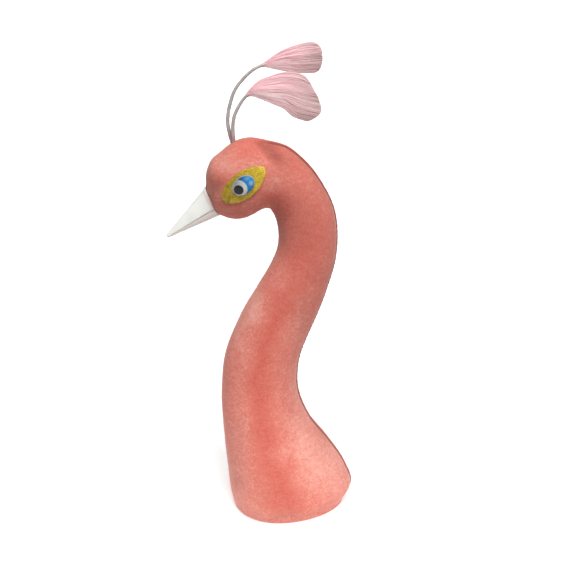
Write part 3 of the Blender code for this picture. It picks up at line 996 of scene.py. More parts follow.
# The eyes
# Stock domed craft eyes, oval, moulded in white acrylic and pad-printed before a clear lacquer: a
# blue field, a white disc off centre towards the beak and a black pupil in it, inside a plain rim.

EYE_LENGTH = 0.0142
EYE_WIDTH = 0.0100
EYE_RIM_HEIGHT = 0.0007
EYE_DOME_HEIGHT = 0.0031
EYE_TILT_DEG = 36.0
EYE_SEAT = (-11.0, 89.5)
EYE_DOME_SHARE = 0.946
EYE_PRINT_SPAN = 0.020
EYE_AROUND = 96

# The print, and the middles of the painted highlight and painted shade on it, as places along and
# across the eye from its middle.
DISC_MIDDLE = (-0.0029, 0.0003, 0.0)
PUPIL_MIDDLE = (-0.0033, -0.0001, 0.0)
DEEP_BLUE_MIDDLE = (0.0004, 0.0042, 0.0)
BLUE_HIGHLIGHT_MIDDLE = (0.0047, -0.0011, 0.0)
WHITE_SHADE_MIDDLE = (-0.0026, 0.0046, 0.0)


def make_eye(side, name):
    """The back laid on the leaf, a short wall, the rim's rounded edge and the dome inside it."""
    seat = on_figure(*EYE_SEAT)
    _, out = on_cheek(side, seat.x, seat.z)
    low = PATCH_THICKNESS + 2 * SEAT_GAP
    dome = EYE_DOME_HEIGHT - EYE_RIM_HEIGHT
    levels = [(s, None) for s in (0.15, 0.4, 0.7, 0.9, 0.985)]
    levels += [(1.0, 0.00012), (1.0, EYE_RIM_HEIGHT * 0.7), (0.99, EYE_RIM_HEIGHT * 0.95)]
    levels += [(0.975, EYE_RIM_HEIGHT * 1.02), (0.96, EYE_RIM_HEIGHT * 0.95)]
    levels += [(0.95, EYE_RIM_HEIGHT * 0.8)]
    for share in np.concatenate([np.linspace(0.945, 0.6, 12), np.linspace(0.56, 0.03, 16)]):
        swell = math.sqrt(1 - (share / EYE_DOME_SHARE) ** 2)
        levels.append((share, EYE_RIM_HEIGHT * 0.8 + (dome + EYE_RIM_HEIGHT * 0.2) * swell))
    points, uvs = [], []
    for share, rise in levels:
        for i in range(EYE_AROUND):
            a = 2 * math.pi * i / EYE_AROUND
            along, across = EYE_LENGTH / 2 * math.cos(a) * share, EYE_WIDTH / 2 * math.sin(a) * share
            x, z = turned(along, across, EYE_TILT_DEG)
            point, normal = on_cheek(side, seat.x + x, seat.z + z)
            points.append(point + normal * low + (out * rise if rise is not None else Vector()))
            uvs.append((0.5 + along / EYE_PRINT_SPAN * 0.5, 0.5 + across / EYE_PRINT_SPAN * 0.5))
    return new_piece(name, points, tube_faces(len(levels), EYE_AROUND), uvs)


# Acrylic under lacquer, moulded against polished steel: a clear gloss, dulled a little by handling,
# over flat ink with the blue deeper at its top. A painted highlight pales the blue towards its
# outer end, painted shade greys the top of the white, and the plain white rim is painted grey with
# shade.
acrylic, tree = new_material("lacquered acrylic")
places = add_node(tree, "ShaderNodeTexCoord")
metres = add_node(
    tree,
    "ShaderNodeMapping",
    {
        "Vector": places.outputs["UV"],
        "Location": (-EYE_PRINT_SPAN, -EYE_PRINT_SPAN, 0.0),
        "Scale": (2 * EYE_PRINT_SPAN, 2 * EYE_PRINT_SPAN, 0.0),
    },
)
field_place = add_node(
    tree,
    "ShaderNodeVectorMath",
    {0: metres.outputs["Vector"], 1: (2 / EYE_LENGTH, 2 / EYE_WIDTH, 0.0)},
    operation="MULTIPLY",
)
field_reach = add_node(
    tree, "ShaderNodeVectorMath", {0: field_place.outputs["Vector"]}, operation="LENGTH"
)
in_field = add_node(
    tree,
    "ShaderNodeMapRange",
    {"Value": field_reach.outputs["Value"], "From Min": 0.955, "From Max": 0.925},
)
disc_reach = add_node(
    tree,
    "ShaderNodeVectorMath",
    {0: metres.outputs["Vector"], 1: DISC_MIDDLE},
    operation="DISTANCE",
)
off_disc = add_node(
    tree,
    "ShaderNodeMapRange",
    {"Value": disc_reach.outputs["Value"], "From Min": 0.0045, "From Max": 0.0051},
)
pupil_reach = add_node(
    tree,
    "ShaderNodeVectorMath",
    {0: metres.outputs["Vector"], 1: PUPIL_MIDDLE},
    operation="DISTANCE",
)
in_pupil = add_node(
    tree,
    "ShaderNodeMapRange",
    {"Value": pupil_reach.outputs["Value"], "From Min": 0.0029, "From Max": 0.0026},
)
along_eye = add_node(tree, "ShaderNodeSeparateXYZ", {"Vector": metres.outputs["Vector"]})
past_grey = add_node(
    tree,
    "ShaderNodeMapRange",
    {"Value": along_eye.outputs["X"], "From Min": -0.0018, "From Max": -0.0005},
    interpolation_type="SMOOTHSTEP",
)
field_share = add_node(
    tree,
    "ShaderNodeMath",
    {0: in_field.outputs["Result"], 1: past_grey.outputs["Result"]},
    operation="MULTIPLY",
)
blue_share = add_node(
    tree,
    "ShaderNodeMath",
    {0: field_share.outputs["Value"], 1: off_disc.outputs["Result"]},
    operation="MULTIPLY",
)
deep_reach = add_node(
    tree,
    "ShaderNodeVectorMath",
    {0: metres.outputs["Vector"], 1: DEEP_BLUE_MIDDLE},
    operation="DISTANCE",
)
deep_share = add_node(
    tree,
    "ShaderNodeMapRange",
    {
        "Value": deep_reach.outputs["Value"],
        "From Min": 0.0006,
        "From Max": 0.0044,
        "To Min": 1.0,
        "To Max": 0.0,
    },
)
blue = add_node(
    tree,
    "ShaderNodeMix",
    {0: deep_share.outputs["Result"], 6: linear("#2078b2"), 7: linear("#12467e")},
    data_type="RGBA",
)
# A painted highlight, paling the blue towards its outer end.
highlight_reach = add_node(
    tree,
    "ShaderNodeVectorMath",
    {0: metres.outputs["Vector"], 1: BLUE_HIGHLIGHT_MIDDLE},
    operation="DISTANCE",
)
highlight_share = add_node(
    tree,
    "ShaderNodeMapRange",
    {
        "Value": highlight_reach.outputs["Value"],
        "From Min": 0.0002,
        "From Max": 0.0021,
        "To Min": 0.75,
        "To Max": 0.0,
    },
    interpolation_type="SMOOTHSTEP",
)
highlighted = add_node(
    tree,
    "ShaderNodeMix",
    {0: highlight_share.outputs["Result"], 6: blue.outputs[2], 7: linear("#8fbfdc")},
    data_type="RGBA",
)
# Painted shade, greying the top of the white.
white_shade_reach = add_node(
    tree,
    "ShaderNodeVectorMath",
    {0: metres.outputs["Vector"], 1: WHITE_SHADE_MIDDLE},
    operation="DISTANCE",
)
white_shade_share = add_node(
    tree,
    "ShaderNodeMapRange",
    {
        "Value": white_shade_reach.outputs["Value"],
        "From Min": 0.0005,
        "From Max": 0.0072,
        "To Min": 1.0,
        "To Max": 0.0,
    },
)
white = add_node(
    tree,
    "ShaderNodeMix",
    {0: white_shade_share.outputs["Result"], 6: linear("#d3d6d2"), 7: linear("#82888e")},
    data_type="RGBA",
)
inside = add_node(
    tree,
    "ShaderNodeMix",
    {0: blue_share.outputs["Value"], 6: white.outputs[2], 7: highlighted.outputs[2]},
    data_type="RGBA",
)
# The rim round the print is white plastic, painted grey with shade.
print_and_shaded_rim = add_node(
    tree,
    "ShaderNodeMix",
    {0: in_field.outputs["Result"], 6: linear("#aeb2a6"), 7: inside.outputs[2]},
    data_type="RGBA",
)
with_pupil = add_node(
    tree,
    "ShaderNodeMix",
    {0: in_pupil.outputs["Result"], 6: print_and_shaded_rim.outputs[2], 7: linear("#0e0d12")},
    data_type="RGBA",
)
shader = add_node(
    tree,
    "ShaderNodeBsdfPrincipled",
    {
        "Base Color": with_pupil.outputs[2],
        "Roughness": 0.42,
        "IOR": 1.49,
        "Specular IOR Level": 0.25,
        "Coat Weight": 0.08,
        "Coat Roughness": 0.2,
    },
)
add_node(tree, "ShaderNodeOutputMaterial", {"Surface": shader.outputs["BSDF"]})
for side, hand in ((-1.0, "left"), (1.0, "right")):
    fit(make_eye(side, "domed_eye_" + hand), "eye_" + hand, acrylic)


# The crest
# Two goose feathers stripped to the quill but for a fan of pink barbs at the end, trimmed and
# curled. The quills stand side by side, sunk into the crown and held by glue.

QUILL_DIAMETER = 0.0019
QUILL_NECK_DIAMETER = 0.0014
QUILL_SUNK = 0.007
UPPER_FEATHER_REACH = 0.0690
LOWER_FEATHER_REACH = 0.0550
CREST_SEAT = (-13.9, 99.0)
QUILL_SPACING = QUILL_DIAMETER + SEAT_GAP
QUILL_PAIR_TURN_DEG = 62.0
CREST_LEAN_DEG = 10.0
FEATHER_ROWS = 240
VANE_OPEN_WIDTH = 0.014
FOLDS_UNDER_FROM = 0.72
FOLDS_UNDER_RUN = 0.2

# In hundredths of the feather's reach from where its quill leaves the crown, as in the solid: the
# quill's centre points, then the vane's upper edge, lower edge, bow of its end, and sideways lean.
UPPER_QUILL = [
    (-2.3, 8.5),
    (-3.5, 16.1),
    (-2.9, 25.6),
    (-1.0, 33.3),
    (1.4, 40.8),
    (4.8, 46.9),
    (9.3, 52.4),
    (13.6, 56.7),
    (19.0, 61.0),
]
UPPER_VANE = [
    (26.2, 65.8, 25.5, 62.4, 0.0, 1.6),
    (34.2, 71.2, 33.8, 61.0, 0.0, 2.4),
    (43.4, 76.5, 43.2, 59.2, 0.3, 3.0),
    (52.8, 80.0, 52.8, 57.5, 1.0, 3.6),
    (62.4, 82.3, 62.5, 57.2, 2.8, 4.1),
    (70.1, 82.9, 70.6, 57.8, 5.3, 4.5),
]
LOWER_QUILL = [
    (-0.6, 9.3),
    (-0.6, 17.3),
    (1.1, 27.3),
    (4.0, 34.3),
    (7.5, 40.3),
    (11.0, 45.3),
]
LOWER_VANE = [
    (15.8, 54.0, 18.1, 48.1, 0.0, 2.0),
    (26.0, 63.8, 29.6, 45.2, 0.0, 3.4),
    (39.0, 69.2, 43.1, 39.9, 0.6, 4.8),
    (52.6, 73.2, 52.8, 35.9, 3.1, 6.0),
    (65.9, 72.7, 61.9, 27.9, 7.8, 6.9),
    (77.8, 68.1, 78.8, 22.0, 13.2, 7.5),
]

# How far each vane bows to the bird's right across its width, as (share from the upper edge,
# millimetres): the barbs above the crease face up, and those below it turn under.
UPPER_PROFILE = [(0.0, 2.2), (0.36, -0.6), (0.7, -1.2), (1.0, -0.9)]
LOWER_PROFILE = [(0.0, 2.4), (0.42, -0.8), (0.72, -1.9), (0.86, -1.6), (1.0, 0.2)]

lean = math.radians(CREST_LEAN_DEG)
crest_up = Vector((-math.sin(lean), 0.0, math.cos(lean)))
pair_turn = math.radians(QUILL_PAIR_TURN_DEG)
quills_apart = Vector((math.cos(lean), 0.0, math.sin(lean))) * math.cos(pair_turn)
quills_apart -= Vector((0.0, 1.0, 0.0)) * math.sin(pair_turn)
crest_above = on_figure(*CREST_SEAT) + crest_up * FIGURE_HEIGHT
quill_roots = []
for share in (-0.5, 0.5):
    start = crest_above + quills_apart * QUILL_SPACING * share
    quill_roots.append(smooth_skin.ray_cast(start, -crest_up)[0])


class Feather:
    """One feather's smooth rows, and the points of its quill and barbs."""

    def __init__(self, quill, vane, reach, side, skew, squareness, profile, root):
        self.reach, self.side, self.skew, self.squareness = reach, side, skew, squareness
        self.profile, self.root = profile, root
        centres = [(0.0, 0.0)] + list(quill)
        rows = []
        for i, (x, z) in enumerate(centres):
            before = Vector(centres[max(i - 1, 0)])
            after = Vector(centres[min(i + 1, len(centres) - 1)])
            heading = (after - before).normalized()
            share = i / (len(centres) - 1)
            radius = (QUILL_DIAMETER * (1 - share) + QUILL_NECK_DIAMETER * share) / 2
            out = Vector((-heading.y, heading.x)) * radius * 100 / reach
            rows.append((x + out.x, z + out.y, x - out.x, z - out.y, 0.0, 0.0))
        self.rows = smooth_rows(rows + list(vane), FEATHER_ROWS)
        widths = [math.hypot(r[0] - r[2], r[1] - r[3]) * reach / 100 for r in self.rows]
        opens = [w > QUILL_DIAMETER * 1.35 for w in widths]
        self.quill_end = opens.index(True, FEATHER_ROWS // 4 + 1)

    def row_at(self, t):
        """The row at share t of the whole feather."""
        place = min(max(t, 0.0), 1.0) * (len(self.rows) - 1)
        k = min(int(place), len(self.rows) - 2)
        return self.rows[k] * (1 - (place - k)) + self.rows[k + 1] * (place - k)

    def point(self, t, share, stand=0.0):
        """A point of the vane: along it, down from its upper edge, and standing off it towards the
        bird's left."""
        row = self.row_at(t)
        upper = self.root + Vector((row[0], 0.0, row[1])) * self.reach / 100
        lower = self.root + Vector((row[2], 0.0, row[3])) * self.reach / 100
        across = upper - lower
        ahead = across.normalized().cross(Vector((0.0, 1.0, 0.0)))
        ahead = -ahead if ahead.x < 0 else ahead
        rounded = max(math.sin(math.pi * share**self.skew), 0.0) ** self.squareness
        bow = rounded * row[4] * self.reach / 100
        spread = rising(across.length, QUILL_DIAMETER, VANE_OPEN_WIDTH)
        stands = [p[1] for p in self.profile]
        turns_under = rising(t, FOLDS_UNDER_FROM, FOLDS_UNDER_RUN)
        stands[-1] = stands[-2] + (stands[-1] - stands[-2]) * turns_under
        cup = float(np.interp(share, [p[0] for p in self.profile], stands)) * 0.001
        sweep = self.side * row[5] * self.reach / 100 + cup * spread - stand
        past = max(t - 1.0, 0.0) * self.reach
        return lower + across * (1 - share) + ahead * (bow + past) + Vector((0.0, sweep, 0.0))


feathers = {
    "upper": Feather(
        UPPER_QUILL,
        UPPER_VANE,
        UPPER_FEATHER_REACH,
        side=1.0,
        skew=0.95,
        squareness=0.5,
        profile=UPPER_PROFILE,
        root=quill_roots[0],
    ),
    "lower": Feather(
        LOWER_QUILL,
        LOWER_VANE,
        LOWER_FEATHER_REACH,
        side=-1.0,
        skew=1.75,
        squareness=0.66,
        profile=LOWER_PROFILE,
        root=quill_roots[1],
    ),
}

# The quill is drawn a little fuller than in the solid, as the photograph shows it, and runs a few
# rows into the vane, where it thins out and drifts towards the upper edge.
QUILL_AROUND = 20
QUILL_FULLNESS = 1.22
ROWS_IN_VANE = 8
RISE_IN_VANE = 0.07
THINS_BY = 0.85
KNOB_SHARE = 0.10
KNOB_SPACING = 0.0017


def make_quill(feather, name):
    """The bare quill from inside the crown to within the vane, a little knobbly from stripping."""
    last = feather.quill_end + ROWS_IN_VANE
    centres = []
    for k in range(last):
        t = k / (len(feather.rows) - 1)
        if k <= feather.quill_end:
            centres.append((feather.point(t, 0.5), 0.0))
        else:
            inside = (k - feather.quill_end) / ROWS_IN_VANE
            centres.append((feather.point(t, 0.5 - RISE_IN_VANE * inside), inside))
    root = centres[0][0]
    sunk = [(root - crest_up * QUILL_SUNK * s, 0.0) for s in (1.0, 0.66, 0.33)]
    centres = sunk + centres
    points, uvs = [], []
    for k, (centre, fade) in enumerate(centres):
        before, after = centres[max(k - 1, 0)][0], centres[min(k + 1, len(centres) - 1)][0]
        heading = (after - before).normalized()
        one = heading.cross(Vector((0.0, 1.0, 0.0))).normalized()
        two = heading.cross(one)
        along = k / (len(centres) - 1)
        radius = (QUILL_DIAMETER * (1 - along) + QUILL_NECK_DIAMETER * along) / 2
        radius = radius * (1 - THINS_BY * fade) * QUILL_FULLNESS
        for i in range(QUILL_AROUND):
            a = 2 * math.pi * i / QUILL_AROUND
            out = one * math.cos(a) + two * math.sin(a)
            knob = 1 + KNOB_SHARE * noise.noise((centre + out * 0.002) / KNOB_SPACING)
            points.append(centre + out * radius * knob)
            uvs.append((i / QUILL_AROUND, along))
    return new_piece(name, points, tube_faces(len(centres), QUILL_AROUND), uvs)


WEB_ACROSS = 260
WEB_ALONG = 90
WEB_HALF_THICKNESS = 0.00026
PARTING_COUNT = 15
PARTING_WIDTH = 0.006
PARTING_DEPTH = 0.00055
BARB_RIDGE = 0.00009
WEB_SWELL = 0.00032


def noise_row(shuffle, count, waves, size):
    """A smooth uneven run of values, both sides of zero."""
    knots = shuffle.normal(0.0, 1.0, waves + 1)
    return np.interp(np.linspace(0, waves, count), np.arange(waves + 1), knots) * size


def make_web(feather, name, barb_count, seed):
    """The fan as one web of clinging barbs: ridged along each barb, and parting in a few deeper
    grooves towards the trimmed edge."""
    shuffle = np.random.default_rng(seed)
    across, along = WEB_ACROSS, WEB_ALONG
    start_t = feather.quill_end / (len(feather.rows) - 1) - 0.015
    partings = sorted(shuffle.uniform(0.06, 0.96, PARTING_COUNT))
    depths = shuffle.uniform(0.3, 1.0, PARTING_COUNT)
    reaches = shuffle.uniform(0.2, 0.55, PARTING_COUNT)
    trims = noise_row(shuffle, across + 1, 9, 0.0045) + noise_row(shuffle, across + 1, 60, 0.0022)
    places = np.linspace(0.0, 1.0, across + 1)
    trims -= 0.022 * np.exp(-((places / 0.07) ** 2)) + 0.012 * np.exp(-(((1 - places) / 0.08) ** 2))
    points, uvs = [], []
    for face in (1.0, -1.0):
        for k in range(along + 1):
            s = k / along
            for i in range(across + 1):
                share = i / across
                edge = min(share, 1 - share)
                thin_end = 1 - 0.6 * max(0.0, (s - 0.9) / 0.1)
                thick = WEB_HALF_THICKNESS * min(1.0, edge / 0.02 + 0.25) * thin_end
                wander = 3 * noise.noise(Vector((s * 3, share * 9, seed)))
                barb = math.sin(2 * math.pi * barb_count * share + wander)
                ridge = BARB_RIDGE * (0.25 + 0.75 * s) * barb
                groove = 0.0
                for place, depth, reach in zip(partings, depths, reaches):
                    opened = max(0.0, (s - 1 + reach) / reach) ** 1.3
                    off = share + 0.02 * math.sin(4 * s + 20 * place) - place
                    groove += PARTING_DEPTH * depth * opened * bell(off, PARTING_WIDTH)
                swell = WEB_SWELL * noise.noise(Vector((share * 11, s * 1.5, seed * 3.1))) * s * s
                stand = face * (thick + ridge) + swell - groove
                t = start_t + (1 + trims[i] - start_t) * s
                points.append(feather.point(min(t, 1.0), share, stand))
                uvs.append((0.02 + 0.94 * share, s))
    row = across + 1
    sheet = row * (along + 1)
    faces = []
    for k in range(along):
        for i in range(across):
            a, b = k * row + i, k * row + i + 1
            faces.append((a, b, b + row, a + row))
            faces.append((sheet + a + row, sheet + b + row, sheet + b, sheet + a))
    for i in range(across):
        faces.append((i + 1, i, sheet + i, sheet + i + 1))
        last = along * row + i
        faces.append((last, last + 1, sheet + last + 1, sheet + last))
    for k in range(along):
        a, b = k * row, (k + 1) * row
        faces.append((a, b, sheet + b, sheet + a))
        a, b = a + across, b + across
        faces.append((b, a, sheet + a, sheet + b))
    return new_piece(name, points, faces, uvs)


LOOSE_STEPS = 26
LOOSE_HALF_WIDTH = 0.0042
LOOSE_WANDER = 0.016
LOOSE_HALF_THICKNESS = 0.00008
LOOSE_TREMBLE = 0.00004


def make_loose_barbs(feather, name, count, seed):
    """Barbs that have come away from the web: thin flat strands lying on it and ending unevenly."""
    shuffle = np.random.default_rng(seed)
    steps = LOOSE_STEPS
    start_t = feather.quill_end / (len(feather.rows) - 1)
    points, faces, uvs = [], [], []
    for j in range(count):
        share = (j + shuffle.uniform(0.1, 0.9)) / count
        end_t = 1.0 + 0.006 * shuffle.normal() - 0.004
        begin_t = start_t + (end_t - start_t) * shuffle.uniform(0.0, 0.6)
        half = LOOSE_HALF_WIDTH * shuffle.uniform(0.7, 1.3)
        wander = LOOSE_WANDER * shuffle.normal()
        lift = 0.00042 + 0.0005 * shuffle.random()
        tone = shuffle.uniform(0.02, 0.96)
        first = len(points)
        for k in range(steps + 1):
            s = k / steps
            t = begin_t + (end_t - begin_t) * s
            here = share + wander * s * s
            thins = 1 - 0.6 * max(0.0, (s - 0.7) / 0.3)
            wide = half * thins * (0.3 + 0.7 * min(1.0, s * 5))
            stand = lift * min(1.0, 3 * s) + LOOSE_TREMBLE * shuffle.normal()
            flat = LOOSE_HALF_THICKNESS
            for offset, out in ((-wide, 0.0), (0.0, -flat), (wide, 0.0), (0.0, flat)):
                points.append(feather.point(t, min(max(here + offset, 0.0), 1.0), stand + out))
                uvs.append((tone, s))
        for k in range(steps):
            for i in range(4):
                a, b = first + k * 4 + i, first + k * 4 + (i + 1) % 4
                faces.append((a, b, b + 4, a + 4))
        faces.append((first + 3, first + 2, first + 1, first))
        end = first + steps * 4
        faces.append((end, end + 1, end + 2, end + 3))
    return new_piece(name, points, faces, uvs)


# Feather quill, keratin scraped bare: greyish horn, half dull, with the pink dye caught near the
# crown and again where the barbs begin.
HORN_BAND_SPACING = 0.0035
SCRAPE_SPACING = 0.0006

horn, tree = new_material("scraped quill")
places = add_node(tree, "ShaderNodeTexCoord")
spread = add_node(tree, "ShaderNodeSeparateXYZ", {"Vector": places.outputs["UV"]})
bands = add_node(
    tree,
    "ShaderNodeTexNoise",
    {"Vector": places.outputs["Object"], "Scale": 1 / HORN_BAND_SPACING, "Detail": 3.0},
)
banded = add_node(
    tree,
    "ShaderNodeMix",
    {0: bands.outputs["Fac"], 6: linear("#968c89"), 7: linear("#cdc4c0")},
    data_type="RGBA",
)
root_share = add_node(
    tree,
    "ShaderNodeMapRange",
    {"Value": spread.outputs["Y"], "From Min": 0.08, "From Max": 0.2, "To Min": 0.7, "To Max": 0.0},
)
dye_caught = add_node(
    tree,
    "ShaderNodeMix",
    {0: root_share.outputs["Result"], 6: banded.outputs[2], 7: linear("#a8736c")},
    data_type="RGBA",
)
web_share = add_node(
    tree,
    "ShaderNodeMapRange",
    {"Value": spread.outputs["Y"], "From Min": 0.92, "From Max": 0.99, "To Min": 0.0, "To Max": 0.85},
)
webbed = add_node(
    tree,
    "ShaderNodeMix",
    {0: web_share.outputs["Result"], 6: dye_caught.outputs[2], 7: linear("#efbdc4")},
    data_type="RGBA",
)
scrape = add_node(
    tree,
    "ShaderNodeTexNoise",
    {"Vector": places.outputs["Object"], "Scale": 1 / SCRAPE_SPACING, "Detail": 2.0},
)
scrape_bump = add_node(
    tree, "ShaderNodeBump", {"Height": scrape.outputs["Fac"], "Strength": 0.4, "Distance": 0.0001}
)
shader = add_node(
    tree,
    "ShaderNodeBsdfPrincipled",
    {
        "Base Color": webbed.outputs[2],
        "Roughness": 0.5,
        "IOR": 1.54,
        "Normal": scrape_bump.outputs["Normal"],
    },
)
add_node(tree, "ShaderNodeOutputMaterial", {"Surface": shader.outputs["BSDF"]})

# Dyed goose barbs: keratin strands with a silky half gloss along their length. The dye is fuller
# near the quill. Painted shade greys the lower half of the fan, where it turns under, and the cut
# tips, where they curl away, and painted shadow darkens the gaps between the strands. The counts
# are how often each pattern repeats across the fan and along it.
BARB_LINES = (70.0, 2.2, 1.0)
BARB_GAPS = (24.0, 1.4, 1.0)

dyed, tree = new_material("dyed barbs")
places = add_node(tree, "ShaderNodeTexCoord")
barb_lines = add_node(
    tree, "ShaderNodeVectorMath", {0: places.outputs["UV"], 1: BARB_LINES}, operation="MULTIPLY"
)
lines = add_node(
    tree,
    "ShaderNodeTexNoise",
    {"Vector": barb_lines.outputs["Vector"], "Scale": 1.0, "Detail": 2.0, "Roughness": 0.55},
)
spread = add_node(tree, "ShaderNodeSeparateXYZ", {"Vector": places.outputs["UV"]})
strand_tone = add_node(
    tree,
    "ShaderNodeMapRange",
    {"Value": lines.outputs["Fac"], "From Min": 0.34, "From Max": 0.66, "To Min": 0.0, "To Max": 1.0},
)
strand = add_node(
    tree,
    "ShaderNodeMix",
    {0: strand_tone.outputs["Result"], 6: linear("#fbc9ce"), 7: linear("#ffe0e4")},
    data_type="RGBA",
)
root_pink = add_node(
    tree,
    "ShaderNodeMapRange",
    {"Value": spread.outputs["Y"], "From Min": 0.1, "From Max": 0.7, "To Min": 0.5, "To Max": 0.0},
    interpolation_type="SMOOTHSTEP",
)
rooted = add_node(
    tree,
    "ShaderNodeMix",
    {0: root_pink.outputs["Result"], 6: strand.outputs[2], 7: linear("#fbb4c0")},
    data_type="RGBA",
)
# Painted shade greys the lower half of the fan, where it turns under.
under_shade_share = add_node(
    tree,
    "ShaderNodeMapRange",
    {"Value": spread.outputs["X"], "From Min": 0.3, "From Max": 0.65, "To Min": 0.0, "To Max": 0.42},
    interpolation_type="SMOOTHSTEP",
)
under_shaded = add_node(
    tree,
    "ShaderNodeMix",
    {0: under_shade_share.outputs["Result"], 6: rooted.outputs[2], 7: linear("#e9d9d5")},
    data_type="RGBA",
)
# Painted shade greys the cut tips, where they curl away.
tip_share = add_node(
    tree,
    "ShaderNodeMapRange",
    {"Value": spread.outputs["Y"], "From Min": 0.55, "From Max": 1.0, "To Min": 0.0, "To Max": 0.36},
    interpolation_type="SMOOTHSTEP",
)
tip_shaded = add_node(
    tree,
    "ShaderNodeMix",
    {0: tip_share.outputs["Result"], 6: under_shaded.outputs[2], 7: linear("#d3b5ae")},
    data_type="RGBA",
)
# Painted shadow in the gaps between the strands, towards the tips.
gap_lines = add_node(
    tree, "ShaderNodeVectorMath", {0: places.outputs["UV"], 1: BARB_GAPS}, operation="MULTIPLY"
)
gaps = add_node(
    tree, "ShaderNodeTexNoise", {"Vector": gap_lines.outputs["Vector"], "Scale": 1.0, "Detail": 1.0}
)
gap_share = add_node(
    tree,
    "ShaderNodeMapRange",
    {"Value": gaps.outputs["Fac"], "From Min": 0.58, "From Max": 0.70, "To Min": 0.0, "To Max": 0.8},
    interpolation_type="SMOOTHSTEP",
)
gaps_open = add_node(
    tree,
    "ShaderNodeMapRange",
    {"Value": spread.outputs["Y"], "From Min": 0.60, "From Max": 0.92, "To Min": 0.0, "To Max": 1.0},
    interpolation_type="SMOOTHSTEP",
)
gap_shadow = add_node(
    tree,
    "ShaderNodeMath",
    {0: gap_share.outputs["Result"], 1: gaps_open.outputs["Result"]},
    operation="MULTIPLY",
)
gap_shadowed = add_node(
    tree,
    "ShaderNodeMix",
    {0: gap_shadow.outputs["Value"], 6: tip_shaded.outputs[2], 7: linear("#a3837c")},
    data_type="RGBA",
)
line_bump = add_node(
    tree, "ShaderNodeBump", {"Height": lines.outputs["Fac"], "Strength": 0.35, "Distance": 0.0002}
)
shader = add_node(
    tree,
    "ShaderNodeBsdfPrincipled",
    {
        "Base Color": gap_shadowed.outputs[2],
        "Roughness": 0.55,
        "IOR": 1.54,
        "Sheen Weight": 0.2,
        "Sheen Roughness": 0.4,
        "Sheen Tint": linear("#ffe3e3"),
        "Normal": line_bump.outputs["Normal"],
    },
)
add_node(tree, "ShaderNodeOutputMaterial", {"Surface": shader.outputs["BSDF"]})

LOOSE_BARB_COUNT = 48

for which, barb_count, seed in (("upper", 55, 11), ("lower", 75, 23)):
    feather = feathers[which]
    web = make_web(feather, which + "_feather_web", barb_count, seed)
    fit(web, "crest_feather_" + which, dyed)
    loose = make_loose_barbs(feather, which + "_feather_barbs", LOOSE_BARB_COUNT, seed + 1)
    loose.data.materials.append(dyed)
    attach(loose, "root")
    quill = make_quill(feather, which + "_feather_quill")
    quill.data.materials.append(horn)
    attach(quill, "root")


# The setting
# A pale matt floor under plain soft studio light, seen from the photograph's side and height. It is
# a light table, which glows a little, so the shadows on it stay faint.

TABLE_HALF = 9.0
NEAR_HALF = 0.15
CORNERS = [(-1, -1), (1, -1), (1, 1), (-1, 1)]


def square_ring(outer, inner):
    """The corners and faces of a flat square with a square hole in it."""
    points = [(x * s, y * s, 0.0) for s in (outer, inner) for x, y in CORNERS]
    return points, [(i, (i + 1) % 4, 4 + (i + 1) % 4, 4 + i) for i in range(4)]


near_points = [(x * NEAR_HALF, y * NEAR_HALF, 0.0) for x, y in CORNERS]
near_floor = new_piece("floor_near", near_points, [(0, 1, 2, 3)])
far_floor = new_piece("floor_far", *square_ring(TABLE_HALF, NEAR_HALF))

# Opal acrylic, cast and matted on top, lit from below: an even white with hardly any tone in it.
MOTTLES_PER_METRE = 60.0

opal, tree = new_material("opal acrylic light table")
places = add_node(tree, "ShaderNodeTexCoord")
mottled = add_node(
    tree,
    "ShaderNodeTexNoise",
    {"Vector": places.outputs["Object"], "Scale": MOTTLES_PER_METRE, "Detail": 3.0},
)
toned = add_node(
    tree,
    "ShaderNodeMix",
    {0: mottled.outputs["Fac"], 6: linear("#fafafa"), 7: linear("#ffffff")},
    data_type="RGBA",
)
shader = add_node(
    tree,
    "ShaderNodeBsdfPrincipled",
    {
        "Base Color": toned.outputs[2],
        "Roughness": 0.9,
        "Specular IOR Level": 0.1,
        "Emission Color": linear("#ffffff"),
        "Emission Strength": 0.35,
    },
)
add_node(tree, "ShaderNodeOutputMaterial", {"Surface": shader.outputs["BSDF"]})
for sheet in (near_floor, far_floor):
    sheet.data.materials.append(opal)

# A wide diffuser overhead, in front and a little to the right, in a pale room that is dimmer.
DIFFUSER_FROM = Vector((0.12, -0.66, 1.0))
DIFFUSER_SPREAD_DEG = 40.0
DIFFUSER_POWER = 3.3
CEILING_LIGHT = 0.25
FLOOR_BOUNCE = 0.27

diffuser_light = bpy.data.lights.new("overhead_diffuser", "SUN")
diffuser_light.energy = DIFFUSER_POWER
diffuser_light.angle = math.radians(DIFFUSER_SPREAD_DEG)
diffuser = bpy.data.objects.new("overhead_diffuser", diffuser_light)
diffuser.location = DIFFUSER_FROM
diffuser.rotation_euler = (-DIFFUSER_FROM).to_track_quat("-Z", "Y").to_euler()
bpy.context.scene.collection.objects.link(diffuser)

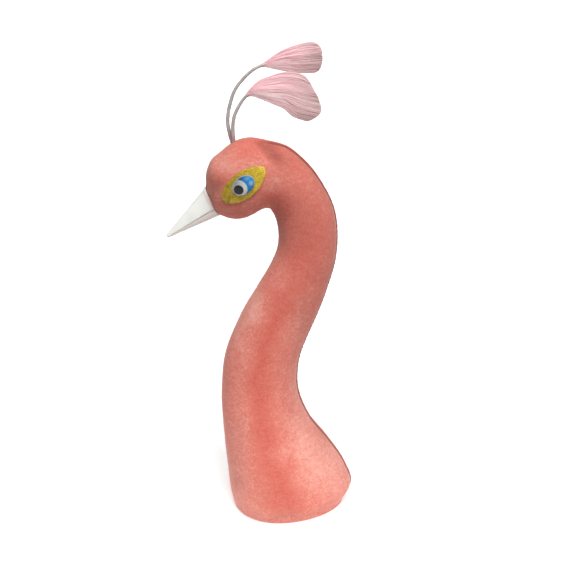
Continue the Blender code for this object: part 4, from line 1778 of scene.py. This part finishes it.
# Only the table round the foot throws light back up at the ornament. The rest of it would flood the
# underside of the head, so its bounce is left to the room.
far_floor.visible_diffuse = False
studio = bpy.data.worlds.new("studio")
bpy.context.scene.world = studio
studio.use_nodes = True
room = studio.node_tree
heading = add_node(room, "ShaderNodeTexCoord")
height = add_node(room, "ShaderNodeSeparateXYZ", {"Vector": heading.outputs["Generated"]})
brightness = add_node(
    room,
    "ShaderNodeMapRange",
    {
        "Value": height.outputs["Z"],
        "From Min": -0.3,
        "From Max": 0.3,
        "To Min": FLOOR_BOUNCE,
        "To Max": CEILING_LIGHT,
    },
)
walls = room.nodes["Background"]
walls.inputs["Color"].default_value = linear("#ffffff")
room.links.new(brightness.outputs["Result"], walls.inputs["Strength"])

# Looked at directly the room is plain white, so no edge shows where the table ends.
backdrop = add_node(room, "ShaderNodeBackground", {"Color": linear("#ffffff"), "Strength": 1.0})
straight = add_node(room, "ShaderNodeLightPath")
seen = add_node(room, "ShaderNodeMixShader")
room.links.new(straight.outputs["Is Camera Ray"], seen.inputs[0])
room.links.new(walls.outputs["Background"], seen.inputs[1])
room.links.new(backdrop.outputs["Background"], seen.inputs[2])
room.links.new(seen.outputs["Shader"], room.nodes["World Output"].inputs["Surface"])
bpy.context.scene.view_settings.view_transform = "Standard"

# The photograph's view: square to the bird's left side and from a little above.
EYE_LEVEL_DEG = 17.0
CAMERA_DISTANCE = 0.75
LOOK_AT = Vector((0.0, 0.0, 0.1389))
SENSOR_WIDTH = 36.0
FOCAL_PIXELS = 1250
FRAME_PIXELS = 576
level = math.radians(EYE_LEVEL_DEG)
lens = bpy.data.cameras.new("camera")
lens.sensor_width = SENSOR_WIDTH
lens.lens = SENSOR_WIDTH * FOCAL_PIXELS / FRAME_PIXELS
camera = bpy.data.objects.new("camera", lens)
camera.location = LOOK_AT + Vector((0.0, -math.cos(level), math.sin(level))) * CAMERA_DISTANCE
camera.rotation_euler = (LOOK_AT - camera.location).to_track_quat("-Z", "Y").to_euler()
bpy.context.scene.collection.objects.link(camera)
bpy.context.scene.camera = camera
